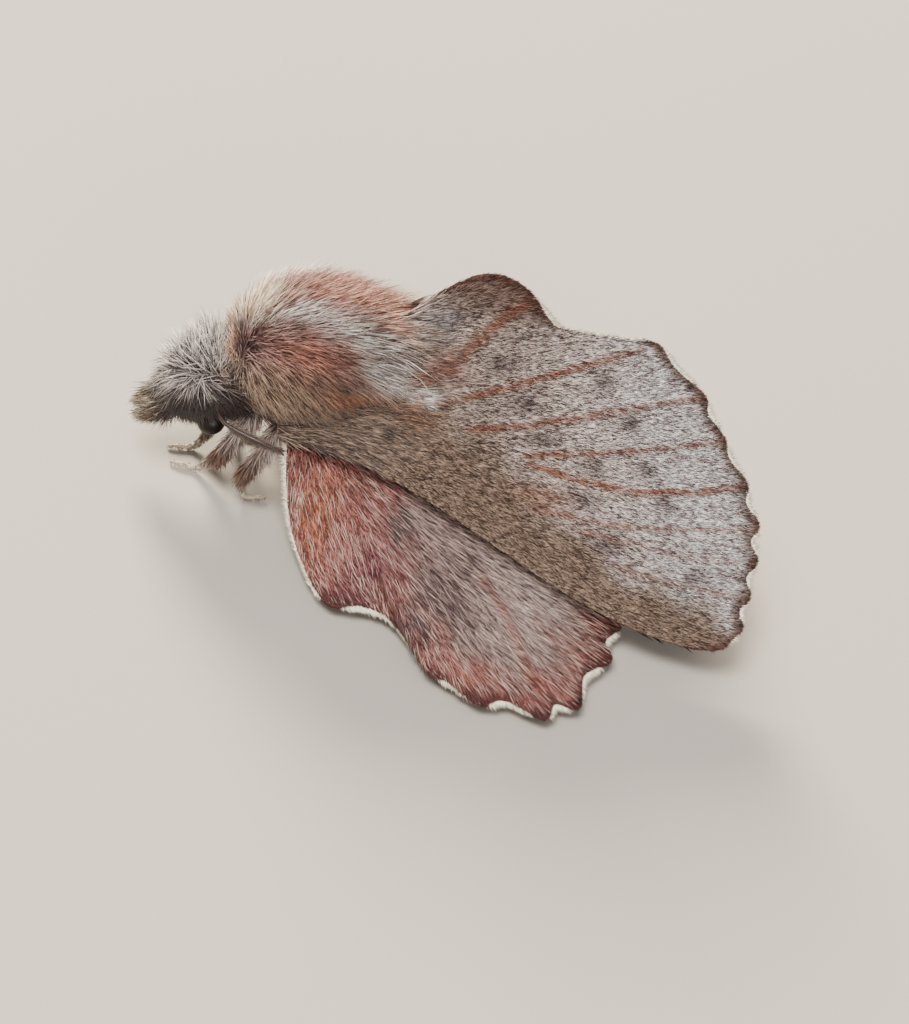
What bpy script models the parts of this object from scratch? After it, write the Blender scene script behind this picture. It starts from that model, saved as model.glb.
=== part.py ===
"""A small lappet moth at rest, life size.

The head points to -X, the moth's left is -Y and +Z is up. The feet and the end of the
abdomen stand on z = 0. Sizes and places below are millimetres from the middle of the
thorax, except heights, which are from the floor.
"""

import math
import random

import bmesh
import bpy
import numpy as np
from mathutils import Matrix, Vector

MM = 0.001
GAP = 0.32  # left between neighbouring pieces
THORAX_TO_MIDDLE = 5.22  # from the middle of the thorax back to the middle of the whole moth

# Thorax and head: half length, half width and half height of each
THORAX_CENTRE = Vector((0.0, 0.0, 5.4))
THORAX_RADII = Vector((3.0, 2.45, 2.5))
HEAD_CENTRE = Vector((-3.4, 0.0, 3.35))
HEAD_RADII = Vector((1.45, 1.2, 1.25))
NECK_POINT = Vector((-2.15, 0.0, 4.2))
NECK_DIRECTION = Vector((-0.84, 0.0, -0.54)).normalized()
WAIST = 2.5  # flat back of the thorax

# Eyes
EYE_RADIUS = 0.5
EYE_PLACE = Vector((-3.0, -0.9, 2.5))

# Palps, the pair of furry feelers that make the snout
PALP_ROOT = Vector((-0.8, -0.34, -0.5))  # direction from the middle of the head
PALP_TIP = Vector((-5.35, -0.36, 1.85))
PALP_RADIUS = 0.36
PALP_TIP_RADIUS = 0.14

# Antennae, laid back along the side of the thorax, each with a row of comb teeth
ANTENNA_ROOT = Vector((0.2, -0.93, 0.12))  # direction from the middle of the head
ANTENNA_PATH = [Vector((-2.75, -1.95, 3.2)), Vector((-2.1, -2.5, 3.15)),
                Vector((-1.5, -2.8, 3.05)), Vector((-0.95, -2.98, 2.85))]
ANTENNA_RADII = [0.26, 0.26, 0.26, 0.25, 0.22, 0.14]
ANTENNA_STUB = 0.3
COMB_PLACES = (0.3, 0.42, 0.54, 0.66, 0.78, 0.9)  # shares of the antenna's length
COMB_WAYS = (Vector((0.75, -0.35, 0.75)), Vector((0.5, -0.3, -0.9)))
COMB_LENGTH = 0.62
COMB_WIDTH = 0.3
COMB_FIRST = 1.25  # the teeth's length, as a share of COMB_LENGTH, if one stood at the root
COMB_SHORTENS = 0.5  # and how much less it is at the tip

# Abdomen: places and radii along its bent middle line
ABDOMEN_LINE = [(2.92, 4.0, 1.15), (3.7, 3.85, 1.4), (4.8, 3.6, 1.5), (6.0, 3.15, 1.5),
                (7.1, 2.55, 1.45), (8.1, 1.85, 1.35), (9.0, 1.1, 1.2), (9.8, 0.75, 0.82),
                (10.4, 0.62, 0.4)]

# Roof that the forewings make: the ridge line and the line of the front edge, the costa
RIDGE_HEIGHT = 8.4
RIDGE_HALF_GAP = 0.42
ROOF_ARCH = 0.2  # radians that the roof is steeper at the ridge, and flatter at the costa
RIGHT_DROP = 1.0  # the right forewing tucks in under the edge of the left one,
RIGHT_FADE = 6.2  # by less and less, to none this far down the roof,
RIGHT_SHIFT = 0.9  # and a little further forward,
RIGHT_LOBE = 0.6  # with a lower lobe above the ridge
COSTA_BASE = Vector((-0.8, 2.7, 3.4))
COSTA_APEX = Vector((15.3, 7.5, 1.42))
ROOF_DEPTH = 10.0

# Wings
WING_THICKNESS = 0.5
MARGIN_THICKNESS = 0.22
VEIN_RAISE = 0.12
VEIN_HALF_WIDTH = 0.2
VEIN_PINCH = 0.05  # share of that width left at the root
VEIN_RISES_OVER = 0.25  # share of the wing's length over which a vein rises from the root
VEIN_SINKS_OVER = 0.05  # and over which it sinks at the margin,
VEIN_END = 0.35  # to this share of its height
MARGIN_THINS_OVER = 0.08
EDGE_THINNESS = 0.6
WING_ROWS = (0.0, 0.13, 0.28, 0.45, 0.62, 0.79, 0.92, 1.0)
SMALL_STEP = 0.02  # between the places that give a wing's slope

# Forewing margin from the costa round to the back edge: along the body, and down the roof
# from the ridge. A vein ends there, or the membrane has a plain corner.
# The last value is how far along the root line the vein starts.
FORE_MARGIN = [("edge", 14.0, 10.32, 0.0), ("vein", 15.0, 10.2, 0.12), ("vein", 15.7, 9.4, 0.24),
               ("vein", 15.95, 8.2, 0.36), ("vein", 16.15, 6.9, 0.48), ("vein", 16.1, 5.6, 0.6),
               ("vein", 15.5, 4.2, 0.78), ("vein", 14.45, 2.75, 1.2), ("vein", 13.5, 1.42, 1.9),
               ("vein", 11.4, -0.1, 2.9), ("plain", 8.9, -0.03, 3.6), ("plain", 7.8, -0.15, 4.2),
               ("vein", 6.45, -1.25, 4.9), ("plain", 5.3, -1.7, 5.6), ("plain", 4.4, -1.5, 6.3),
               ("plain", 3.8, -0.75, 7.0), ("edge", 3.1, -0.3, 7.8)]
FORE_ROOT_ROWS = (5.46, 4.8, 4.1, 3.4, 2.7, 2.0, 1.2, 0.4, -0.3)  # down the roof from the ridge
FORE_ROOT_FRONT = -0.83
RIDGE_START = 2.9  # behind the crest of the thorax, for the rows above RIDGE_ROWS
RIDGE_ROWS = 1.0
ROOT_STEP = 0.05
FORE_BAY = 0.2
COSTA_DIP = -0.95  # the front edge bends this much towards the ridge near its root,
COSTA_ARCH = 0.45  # and this much away from it near the apex
BOW_PEAK = 6.75  # scales each of the two bends to its full size where it is greatest
BOW_FADES_OVER = 10

# Hindwing margin: along the body, and out from the midline
HIND_MARGIN = [("edge", 0.7, 6.8, 0.0), ("vein", 1.3, 7.5, 0.15), ("plain", 2.5, 7.4, 0.35),
               ("plain", 3.35, 8.1, 0.5), ("vein", 4.5, 10.2, 0.75), ("vein", 6.1, 11.35, 1.0),
               ("vein", 8.35, 11.65, 1.35), ("vein", 9.6, 10.85, 1.6), ("vein", 11.3, 8.2, 1.9),
               ("vein", 12.0, 6.1, 2.2), ("vein", 11.3, 4.0, 2.55), ("edge", 9.0, 2.5, 2.95)]
HIND_ROOT = [(-0.45, 1.8), (0.8, 1.9), (2.4, 2.1)]
HIND_HUB = Vector(((HIND_ROOT[0][0] + HIND_ROOT[-1][0]) / 2, HIND_ROOT[0][1]))
HIND_ROOT_HEIGHT = 2.3
HIND_MARGIN_HEIGHT = 0.42
HIND_FRONT_FALL = 3.0  # in front it falls at once and then lies flat,
HIND_BACK_FALL = 1.3  # and further back it stays up longer under the forewing
HIND_FRONT_TURN = -0.05  # radians from straight out to the side, for the front's fall
HIND_BACK_TURN = 0.4  # and for the back's
HIND_BAY = 0.32

# Legs: the root is a direction from the middle of the thorax, the rest are joints
LEG_RADII = [0.4, 0.4, 0.36, 0.3, 0.25, 0.2]
LEG_STUB = 0.45
FOOT_HEIGHT = 0.22
LEGS = {
    "foreleg": (Vector((-0.5, -0.3, -0.84)),
                [Vector((-2.3, -1.3, 1.65)), Vector((-2.55, -0.85, 0.7)),
                 Vector((-2.95, -0.6, FOOT_HEIGHT)), Vector((-3.9, -0.4, FOOT_HEIGHT))]),
    "midleg": (Vector((-0.15, -0.3, -0.94)),
               [Vector((-1.3, -1.95, 1.95)), Vector((-1.6, -1.9, 1.0)),
                Vector((-1.3, -1.8, FOOT_HEIGHT)), Vector((-0.5, -1.6, FOOT_HEIGHT))]),
    "hindleg": (Vector((0.4, -0.3, -0.87)),
                [Vector((1.9, -1.35, 1.5)), Vector((3.2, -1.6, 0.75)),
                 Vector((4.3, -1.7, FOOT_HEIGHT)), Vector((5.7, -1.9, FOOT_HEIGHT))]),
}

# Locks of fur: how far the root is sunk, and the width and thickness at steps to the tip
LOCK_SINK = 0.22
LOCK_SHAPE = ((0.0, 0.7, 0.9), (0.35, 1.0, 1.0), (0.72, 0.7, 0.6))
LOCK_THICKNESS = 0.42
LOCK_SCATTER = 0.14
LOCK_TIP_HEIGHT = 0.05
LOCK_SPARE = 0.15
SLIVER = 0.003

# The thorax's fur: rows from the front, each its place, how far round it goes in radians,
# how far it lifts and how long it is
THORAX_ROWS = ((-2.4, 1.5, 0.55, 1.7), (-1.7, 2.05, 0.6, 1.9), (-0.95, 2.05, 0.6, 1.9),
               (-0.2, 1.9, 0.6, 1.9), (0.55, 1.75, 0.6, 1.9), (1.25, 1.5, 0.6, 2.0),
               (1.85, 1.2, 0.5, 1.7))
LOCKS_ROUND = 8
THORAX_LOCK_WIDTH = 1.2
THORAX_SAG = 0.13
CREST_ARC = 0.45
CREST_END = 2.35
CLEARANCE_STARTS = 1.0  # how far before the wing's root its fur begins to lift over it
CLEARANCE_REACH = 1.0  # fur that lies deeper below the wing than this is left there
ROOF_STEP = 0.2  # between the places down the roof that fur is set against
ROOF_STEPS = 36
LEAST_LOCKS = 5
LOCKS_AT_END = 0.35  # share of a full row that the smallest row would have
LOCK_STAGGER = 0.25  # every second row is set off by this share of a lock
THORAX_DOWN = 0.22  # how far the fur of the sides is combed down
RUFF_LOCKS = 7
RUFF_ARC = 1.3
RUFF_FORWARD = 0.85
RUFF_WIDE = 0.62
RUFF_LENGTH = 1.1
RUFF_WIDTH = 0.9
RUFF_LIFT = 0.2

# The head's fur: rings round a crown, each its angle from it and its count of locks
CROWN = Vector((-0.25, 0.0, 0.97)).normalized()
HEAD_RINGS = ((0.35, 5), (0.85, 8), (1.3, 10))
HEAD_LENGTH = 1.25
HEAD_LIFT = 0.45
HEAD_LOCK_WIDTH = 0.85
HEAD_SCATTER = 0.12
HEAD_STAGGER = 0.5
HEAD_FORWARD = 0.4  # how far the hair is combed to the face
HEAD_BACK = 0.0  # no lock grows behind this share of the head's length,
HEAD_FRONT = -0.72  # nor low down in front of this one, where the palps are,
HEAD_CLEAR = 1.1  # nor this near an eye or the root of an antenna
PALP_STEPS = (0.4, 0.75)  # where the palp is widest and where it begins to taper
PALP_NECK = 0.8  # share of its width at the root and at the taper
PALP_LOCKS = 5
PALP_FUR = 0.9
PALP_FUR_START = 0.45
PALP_SCATTER = 0.1
PALP_FUR_DEPTH = 0.7  # the root of a lock lies at this share of the palp's radius
PALP_FUR_WIDTH = 0.5
PALP_FUR_SAG = 0.15
FRINGE_LIFT = 0.12
PALP_FAN = 1.0
PALP_LEAN = 0.95
LEG_FRINGE = 3
LEG_FUR = 0.75
LEG_FUR_WIDTH = 0.55
LEG_FUR_START = 5  # point of the leg's line where its first lock grows,
LEG_FUR_EVERY = 2  # and points from there to the next one
LEG_FUR_OUT = Vector((0.0, -1.0, 0.15))
LEG_FUR_DEPTH = 0.8
ABDOMEN_TUFT_ROWS = (5.6, 7.3, 8.7)
ABDOMEN_TURNS = (-1.7, -0.9, 0.0, 0.9, 1.7)
ABDOMEN_TUFT = 1.4
ABDOMEN_TUFT_WIDTH = 1.1
ABDOMEN_STAGGER = 0.3
ABDOMEN_SCATTER = 0.05
ABDOMEN_RISE = 0.25

# How finely each piece is faceted: segments and rings of a ball, or sides and steps of a tube
THORAX_FACETS = (24, 14)
HEAD_FACETS = (20, 12)
EYE_FACETS = (14, 9)
PALP_FACETS = (10, 2)
ANTENNA_FACETS = (6, 2)
ABDOMEN_FACETS = (18, 2)
LEG_FACETS = (8, 3)
CUT_TOLERANCE = 1e-5
SEEDS = {"thorax": 3, "ruff": 4, "head": 5, "palp": 6, "abdomen": 7}

# Colours, and how rough each surface is
COLOURS = {
    "thorax": (0.27, 0.12, 0.09), "head": (0.14, 0.12, 0.11), "palp": (0.06, 0.04, 0.03),
    "eye": (0.02, 0.006, 0.006), "antenna": (0.10, 0.07, 0.05), "abdomen": (0.30, 0.15, 0.09),
    "forewing": (0.30, 0.24, 0.21), "hindwing": (0.26, 0.09, 0.07), "leg": (0.25, 0.18, 0.13),
}
FUR_ROUGHNESS = 0.85
EYE_ROUGHNESS = 0.15


def clear_scene():
    for thing in list(bpy.data.objects):
        bpy.data.objects.remove(thing, do_unlink=True)


def make_material(kind):
    """The material of one kind of piece, made once."""
    found = bpy.data.materials.get(kind)
    if found:
        return found
    material = bpy.data.materials.new(kind)
    material.use_nodes = True
    shader = material.node_tree.nodes["Principled BSDF"]
    shader.inputs["Base Color"].default_value = (*COLOURS[kind], 1.0)
    shader.inputs["Roughness"].default_value = EYE_ROUGHNESS if kind == "eye" else FUR_ROUGHNESS
    shader.inputs["Metallic"].default_value = 0.0
    return material


def solid_from(name, kind, vertices, faces):
    """A closed object from points in millimetres, with its faces turned outwards."""
    mesh = bpy.data.meshes.new(name)
    mesh.from_pydata([Vector(v) for v in vertices], [], faces)
    form = bmesh.new()
    form.from_mesh(mesh)
    bmesh.ops.recalc_face_normals(form, faces=form.faces)
    form.to_mesh(mesh)
    form.free()
    return link(name, kind, mesh)


def link(name, kind, mesh):
    mesh.shade_smooth()
    mesh.materials.append(make_material(kind))
    thing = bpy.data.objects.new(name, mesh)
    bpy.context.scene.collection.objects.link(thing)
    return thing


def cut(thing, point, direction):
    """Cuts away what lies beyond a plane and closes the face it leaves."""
    form = bmesh.new()
    form.from_mesh(thing.data)
    everything = form.verts[:] + form.edges[:] + form.faces[:]
    bmesh.ops.bisect_plane(form, geom=everything, plane_co=point, plane_no=direction,
                           clear_outer=True, dist=CUT_TOLERANCE)
    rims = [edge for edge in form.edges if edge.is_boundary]
    bmesh.ops.holes_fill(form, edges=rims)
    bmesh.ops.recalc_face_normals(form, faces=form.faces)
    form.to_mesh(thing.data)
    form.free()


def ball(name, kind, centre, radii, facets):
    """A closed ellipsoid."""
    form = bmesh.new()
    bmesh.ops.create_uvsphere(form, u_segments=facets[0], v_segments=facets[1], radius=1.0)
    bmesh.ops.transform(form, verts=form.verts,
                        matrix=Matrix.Translation(centre) @ Matrix.Diagonal((*radii, 1.0)))
    mesh = bpy.data.meshes.new(name)
    form.to_mesh(mesh)
    form.free()
    return link(name, kind, mesh)


def on_ball(centre, radii, direction, gap=GAP):
    """The point that stands a gap off an ellipsoid, and the way it faces there."""
    direction = direction.normalized()
    surface = Vector(c + r * d for c, r, d in zip(centre, radii, direction))
    normal = Vector(d / r for d, r in zip(direction, radii)).normalized()
    return surface + gap * normal, normal


def tube(name, kind, points, radii, sides):
    """A closed round tube through points, with a radius at each."""
    vertices, faces = [], []
    side_way = Vector((0.0, 1.0, 0.0))
    for index, (point, radius) in enumerate(zip(points, radii)):
        before, after = points[max(index - 1, 0)], points[min(index + 1, len(points) - 1)]
        along = (after - before).normalized()
        across = side_way.cross(along).normalized()
        up = along.cross(across)
        for step in range(sides):
            angle = 2 * math.pi * step / sides
            vertices.append(point + radius * (math.cos(angle) * across + math.sin(angle) * up))
    for ring in range(len(points) - 1):
        for step in range(sides):
            a, b = ring * sides + step, ring * sides + (step + 1) % sides
            faces.append((a, b, b + sides, a + sides))
    faces.append(tuple(range(sides)))
    faces.append(tuple((len(points) - 1) * sides + step for step in range(sides)))
    return solid_from(name, kind, vertices, faces)


def smooth_line(points, steps):
    """Points on a smooth curve through the given ones."""
    line = [points[0]] + list(points) + [points[-1]]
    found = []
    for index in range(1, len(line) - 2):
        a, b, c, d = line[index - 1:index + 3]
        for step in range(steps):
            t = step / steps
            found.append(0.5 * ((2 * b) + (c - a) * t + (2 * a - 5 * b + 4 * c - d) * t * t
                                + (3 * b - a - 3 * c + d) * t ** 3))
    return found + [points[-1].copy()]


def spread(values, steps):
    """Values between the given ones, as many as smooth_line makes."""
    places = [i / steps for i in range((len(values) - 1) * steps + 1)]
    return [float(np.interp(place, range(len(values)), values)) for place in places]


def soft_tube(name, kind, points, radii, facets):
    """A tube on the smooth curve through points."""
    sides, steps = facets
    return tube(name, kind, smooth_line(points, steps), spread(radii, steps), sides)


def roof_angle(x):
    """How steep the forewing's roof is, from the line of its front edge."""
    share = (x - COSTA_BASE.x) / (COSTA_APEX.x - COSTA_BASE.x)
    edge = COSTA_BASE.lerp(COSTA_APEX, share)
    return math.atan2(RIDGE_HEIGHT - edge.z, edge.y - RIDGE_HALF_GAP)


def fore_place(x, down):
    """The middle of the left forewing, x along the body and a distance down from the ridge."""
    angle = roof_angle(x) + ROOF_ARCH
    turn = 2.0 * ROOF_ARCH / ROOF_DEPTH
    if down < 0.0:
        return Vector((x, -RIDGE_HALF_GAP, RIDGE_HEIGHT - down))
    out = (math.sin(angle) - math.sin(angle - turn * down)) / turn
    fall = (math.cos(angle - turn * down) - math.cos(angle)) / turn
    return Vector((x, -RIDGE_HALF_GAP - out, RIDGE_HEIGHT - fall))


def right_fore_place(x, down):
    """The same for the right forewing, which is tucked in lower along the ridge."""
    point = fore_place(x, down * RIGHT_LOBE if down < 0.0 else down)
    share = 1.0 - min(max(down / RIGHT_FADE, 0.0), 1.0)
    return Vector((x - RIGHT_SHIFT, -point.y, point.z - RIGHT_DROP * share))


def fore_root(place):
    """The forewing's root line, which stands a gap off the side of the thorax."""
    line = []
    for down in FORE_ROOT_ROWS:
        x = 2.0 * WAIST
        stop = FORE_ROOT_FRONT if down > RIDGE_ROWS else RIDGE_START
        while place(x, down).x > stop and off_thorax(place(x, down)):
            x -= ROOT_STEP
        line.append((x + ROOT_STEP, down))
    return line


def off_thorax(point):
    """Whether a point in the middle of a forewing leaves the thorax its gap."""
    margin = GAP + WING_THICKNESS / 2
    reach = [(p - c) / (r + margin) for p, c, r in zip(point, THORAX_CENTRE, THORAX_RADII)]
    return point.x > WAIST + GAP or sum(share * share for share in reach) > 1.0


def along_line(line, distance):
    """The point at a distance along a line of straight pieces."""
    line = [Vector(point) for point in line]
    for a, b in zip(line, line[1:]):
        length = (b - a).length
        if distance <= length:
            return a.lerp(b, distance / length)
        distance -= length
    return line[-1]


def wing_columns(margin, root, bay, bowed):
    """The wing's columns from root to margin, each a start, an end, a share of bow and a kind."""
    columns = []
    for index, (kind, u, v, start) in enumerate(margin):
        share = max(0.0, 1.0 - index / BOW_FADES_OVER) if bowed else 0.0
        here = (along_line(root, start), Vector((u, v)), share)
        if kind == "vein":
            columns += [(*here, "foot", -1.0), (*here, "crest", 0.0), (*here, "foot", 1.0)]
        else:
            columns.append((*here, kind, 0.0))
        if kind == "vein" and margin[index + 1][0] == "vein":
            middle = (Vector((u, v)) + Vector(margin[index + 1][1:3])) / 2
            begin = along_line(root, (start + margin[index + 1][3]) / 2)
            end = middle - bay * (middle - begin).normalized()
            columns.append((begin, end, share, "bay", 0.0))
    return columns


def front_bow(t):
    """How far the front edge lies off a straight line, t from 0 at the root to 1 at the apex."""
    return BOW_PEAK * t * (1 - t) * (COSTA_DIP * (1 - t) + COSTA_ARCH * t)


def column_point(column, t):
    """A point of a column, t from 0 at the root to 1 at the margin."""
    start, end, share, _, side = column
    way = (end - start).normalized()
    across = Vector((-way.y, way.x))
    width = side * VEIN_HALF_WIDTH * (VEIN_PINCH + (1.0 - VEIN_PINCH) * t)
    return start.lerp(end, t) + across * (share * front_bow(t) - width)


def wing(name, kind, columns, place, raised):
    """A curved vane with raised veins, split into triangles alike on both faces."""
    tops, bottoms = [], []
    for column in columns:
        for t in WING_ROWS:
            u, v = column_point(column, t)
            middle = place(u, v)
            run = (place(u + SMALL_STEP, v) - middle).cross(place(u, v + SMALL_STEP) - middle)
            normal = run.normalized()
            if normal.z < 0:
                normal = -normal
            thin = min(1.0, (1.0 - t) / MARGIN_THINS_OVER)
            if column[3] == "edge":
                thin *= EDGE_THINNESS
            half = (MARGIN_THICKNESS + (WING_THICKNESS - MARGIN_THICKNESS) * thin) / 2
            lift = VEIN_RAISE * raised(t) if column[3] == "crest" else 0.0
            tops.append(middle + normal * (half + lift))
            bottoms.append(middle - normal * half)
    return solid_from(name, kind, tops + bottoms, vane_faces(len(columns), len(WING_ROWS)))


def vane_faces(columns, rows):
    """Faces of a closed vane whose top points come first and bottom points after."""
    faces = []
    under = columns * rows
    for i in range(columns - 1):
        for j in range(rows - 1):
            a, b = i * rows + j, (i + 1) * rows + j
            faces += [(a, b, b + 1), (a, b + 1, a + 1)]
            faces += [(under + a, under + b + 1, under + b), (under + a, under + a + 1, under + b + 1)]
    rim = [i * rows for i in range(columns)]
    rim += [(columns - 1) * rows + j for j in range(1, rows)]
    rim += [i * rows + rows - 1 for i in range(columns - 2, -1, -1)]
    rim += [j for j in range(rows - 2, 0, -1)]
    for a, b in zip(rim, rim[1:] + rim[:1]):
        faces += [(a, under + a, b), (b, under + a, under + b)]
    return faces


def vein_profile(t):
    """How much of its height a vein has: it rises past the root and sinks at the margin."""
    return min(1.0, t / VEIN_RISES_OVER) * min(1.0, (1.0 - t) / VEIN_SINKS_OVER + VEIN_END)


def make_forewing(name, place):
    columns = wing_columns(FORE_MARGIN, fore_root(place), FORE_BAY, True)
    return wing(name, "forewing", columns, place, vein_profile)


def make_hindwing():
    columns = wing_columns(HIND_MARGIN, HIND_ROOT, HIND_BAY, False)

    def place(x, out):
        t = hind_share(columns, x, out)
        return Vector((x, -out, hind_height(hind_turn(x, out), t)))

    return wing("hindwing_left", "hindwing", columns, place, vein_profile)


def hind_turn(x, out):
    """The direction of a point of the hindwing from its root, in radians from straight out."""
    return math.atan2(x - HIND_HUB.x, out - HIND_HUB.y)


def hind_share(columns, x, out):
    """How far a point of the hindwing lies from its root, 0, towards its margin, 1."""
    turns = [hind_turn(end.x, end.y) for _, end, _, _, _ in columns]
    reaches = [(end - HIND_HUB).length for _, end, _, _, _ in columns]
    reach = float(np.interp(hind_turn(x, out), turns, reaches))
    return min(1.0, (Vector((x, out)) - HIND_HUB).length / reach)


def hind_height(turn, t):
    """How high the hindwing lies in one direction from its root, t of the way to its margin."""
    back = min(1.0, max(0.0, (turn - HIND_FRONT_TURN) / (HIND_BACK_TURN - HIND_FRONT_TURN)))
    fall = HIND_FRONT_FALL + (HIND_BACK_FALL - HIND_FRONT_FALL) * back
    return HIND_MARGIN_HEIGHT + (HIND_ROOT_HEIGHT - HIND_MARGIN_HEIGHT) * (1.0 - t) ** fall


def lock(root, normal, way, length, width, lift, sag, place=None):
    """One flat, tapered lock of fur that rises off its root and then sags with the body.

    A place, where given, moves each corner, which it is told the height of in the lock.
    """
    way = (way - way.dot(normal) * normal).normalized()
    across = normal.cross(way).normalized()
    place = place or (lambda point, height: point)
    vertices = []
    for t, wide, thick in LOCK_SHAPE:
        rise = (lift + LOCK_SINK) * math.sin(0.5 * math.pi * t) - LOCK_SINK - sag * t * t
        middle = root + way * length * t + normal * rise
        wide, thick = wide * width / 2, thick * LOCK_THICKNESS / 2
        corners = ((across * wide, thick), (normal * thick, 2.0 * thick),
                   (-across * wide, thick), (-normal * thick, 0.0))
        vertices += [place(middle + corner, height) for corner, height in corners]
    tip = place(root + way * length + normal * (lift - sag), LOCK_TIP_HEIGHT)
    faces = [(3, 2, 1), (3, 1, 0)]
    rings = len(LOCK_SHAPE)
    for ring in range(rings - 1):
        for step in range(4):
            a, b = ring * 4 + step, ring * 4 + (step + 1) % 4
            faces += [(a, b, b + 4), (a, b + 4, a + 4)]
    last = (rings - 1) * 4
    faces += [(last + step, last + (step + 1) % 4, last + 4) for step in range(4)]
    return solid_from("lock", "thorax", vertices + [tip], faces)


def above_wing(point, height, line):
    """Lifts a point of a lock that would come too near the outer face of the forewing."""
    side = -1.0 if point.y < 0.0 else 1.0
    wing_points = [fore_place(point.x, ROOF_STEP * step) for step in range(ROOF_STEPS)]
    for wing_point in wing_points:
        wing_point.y *= -side
    near = min(range(1, ROOF_STEPS - 1), key=lambda index: (wing_points[index] - point).length)
    down = wing_points[near + 1] - wing_points[near - 1]
    outward = Vector((0.0, -down.z, down.y)).normalized()
    if outward.z < 0.0:
        outward = -outward
    begins = float(np.interp(ROOF_STEP * near, [d for _, d in line[::-1]], [x for x, _ in line[::-1]]))
    share = min(1.0, (point.x - begins) / CLEARANCE_STARTS + 1.0)
    above = (point - wing_points[near]).dot(outward)
    needed = (WING_THICKNESS / 2 + VEIN_RAISE + GAP) * share + height
    near_enough = share > 0.0 and above > -CLEARANCE_REACH
    return point + outward * max(0.0, needed - above) if near_enough else point


def join_all(core, pieces):
    """Joins closed pieces to a core by one union and keeps the largest closed surface."""
    group = bpy.data.collections.new("pieces")
    bpy.context.scene.collection.children.link(group)
    for piece in pieces:
        bpy.context.scene.collection.objects.unlink(piece)
        group.objects.link(piece)
    modifier = core.modifiers.new("union", "BOOLEAN")
    modifier.operation = "UNION"
    modifier.operand_type = "COLLECTION"
    modifier.solver = "MANIFOLD"
    modifier.collection = group
    graph = bpy.context.evaluated_depsgraph_get()
    mesh = bpy.data.meshes.new_from_object(core.evaluated_get(graph))
    core.modifiers.clear()
    core.data = mesh
    for piece in pieces:
        bpy.data.objects.remove(piece, do_unlink=True)
    bpy.data.collections.remove(group)
    keep_largest(mesh)


def keep_largest(mesh):
    """Drops every loose scrap but the largest closed surface."""
    form = bmesh.new()
    form.from_mesh(mesh)
    left, groups = set(form.verts), []
    while left:
        group, edge = set(), [left.pop()]
        while edge:
            vertex = edge.pop()
            group.add(vertex)
            near = {e.other_vert(vertex) for e in vertex.link_edges} & left
            left -= near
            edge += near
        groups.append(group)
    largest = max(groups, key=len)
    scraps = [v for v in form.verts if v not in largest]
    bmesh.ops.delete(form, geom=scraps, context="VERTS")
    bmesh.ops.triangulate(form, faces=form.faces[:])
    while merge_shortest_edge(form):
        pass
    form.to_mesh(mesh)
    form.free()


def merge_shortest_edge(form):
    """Merges one very short edge that can go with the surface still closed, if there is one."""
    for edge in form.edges:
        if edge.calc_length() < SLIVER:
            a, b = edge.verts
            near_a = {e.other_vert(a) for e in a.link_edges}
            near_b = {e.other_vert(b) for e in b.link_edges}
            if len(near_a & near_b) == 2:
                bmesh.ops.pointmerge(form, verts=[a, b], merge_co=(a.co + b.co) / 2)
                return True
    return False


def thorax_locks(dice):
    """The thorax's coat: rings of locks that lie back along the body."""
    locks = []
    line = fore_root(fore_place)
    for row, (x, arc, lift, length) in enumerate(THORAX_ROWS):
        along = x / THORAX_RADII.x
        round_by = math.sqrt(1.0 - along * along)
        count = max(LEAST_LOCKS, round(LOCKS_ROUND * (LOCKS_AT_END + (1.0 - LOCKS_AT_END) * round_by)))
        for step in range(count):
            place_in_row = (step + LOCK_STAGGER * (row % 2)) / (count - 1.0 + LOCK_STAGGER)
            turn = arc * (2.0 * place_in_row - 1.0)
            direction = Vector((along, round_by * math.sin(turn), round_by * math.cos(turn)))
            root, normal = on_ball(THORAX_CENTRE, THORAX_RADII, direction, 0.0)
            long = length * (1.0 + dice.uniform(-LOCK_SCATTER, LOCK_SCATTER))
            if abs(turn) < CREST_ARC:
                long = min(long, CREST_END - root.x)
            way = Vector((1.0, dice.uniform(-LOCK_SCATTER, LOCK_SCATTER), -THORAX_DOWN * abs(math.sin(turn))))
            sag = THORAX_SAG * long * long if x < 0 else 0.0
            spare = dice.uniform(0.0, LOCK_SPARE)
            place = lambda point, height, spare=spare: above_wing(point, height + spare, line)
            locks.append(lock(root, normal, way, long, THORAX_LOCK_WIDTH, lift, sag, place))
    return locks


def ruff_locks(dice):
    """The fur in front of the thorax, combed forward and down over the neck."""
    locks = []
    for step in range(RUFF_LOCKS):
        turn = RUFF_ARC * (2.0 * step / (RUFF_LOCKS - 1) - 1.0)
        direction = Vector((-RUFF_FORWARD, RUFF_WIDE * math.sin(turn), RUFF_WIDE * math.cos(turn)))
        root, normal = on_ball(THORAX_CENTRE, THORAX_RADII, direction, 0.0)
        long = RUFF_LENGTH * (1.0 + dice.uniform(-LOCK_SCATTER, LOCK_SCATTER))
        locks.append(lock(root, normal, NECK_DIRECTION, long, RUFF_WIDTH, RUFF_LIFT, 0.0))
    return locks


def make_thorax():
    thorax = ball("thorax", "thorax", THORAX_CENTRE, THORAX_RADII, THORAX_FACETS)
    cut(thorax, NECK_POINT, NECK_DIRECTION)
    cut(thorax, Vector((WAIST, 0.0, 0.0)), Vector((1.0, 0.0, 0.0)))
    ruff = ruff_locks(random.Random(SEEDS["ruff"]))
    join_all(thorax, thorax_locks(random.Random(SEEDS["thorax"])) + ruff)
    return thorax


def make_head():
    head = ball("head", "head", HEAD_CENTRE, HEAD_RADII, HEAD_FACETS)
    cut(head, NECK_POINT + GAP * NECK_DIRECTION, -NECK_DIRECTION)
    join_all(head, head_locks(random.Random(SEEDS["head"])))
    return head


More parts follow.
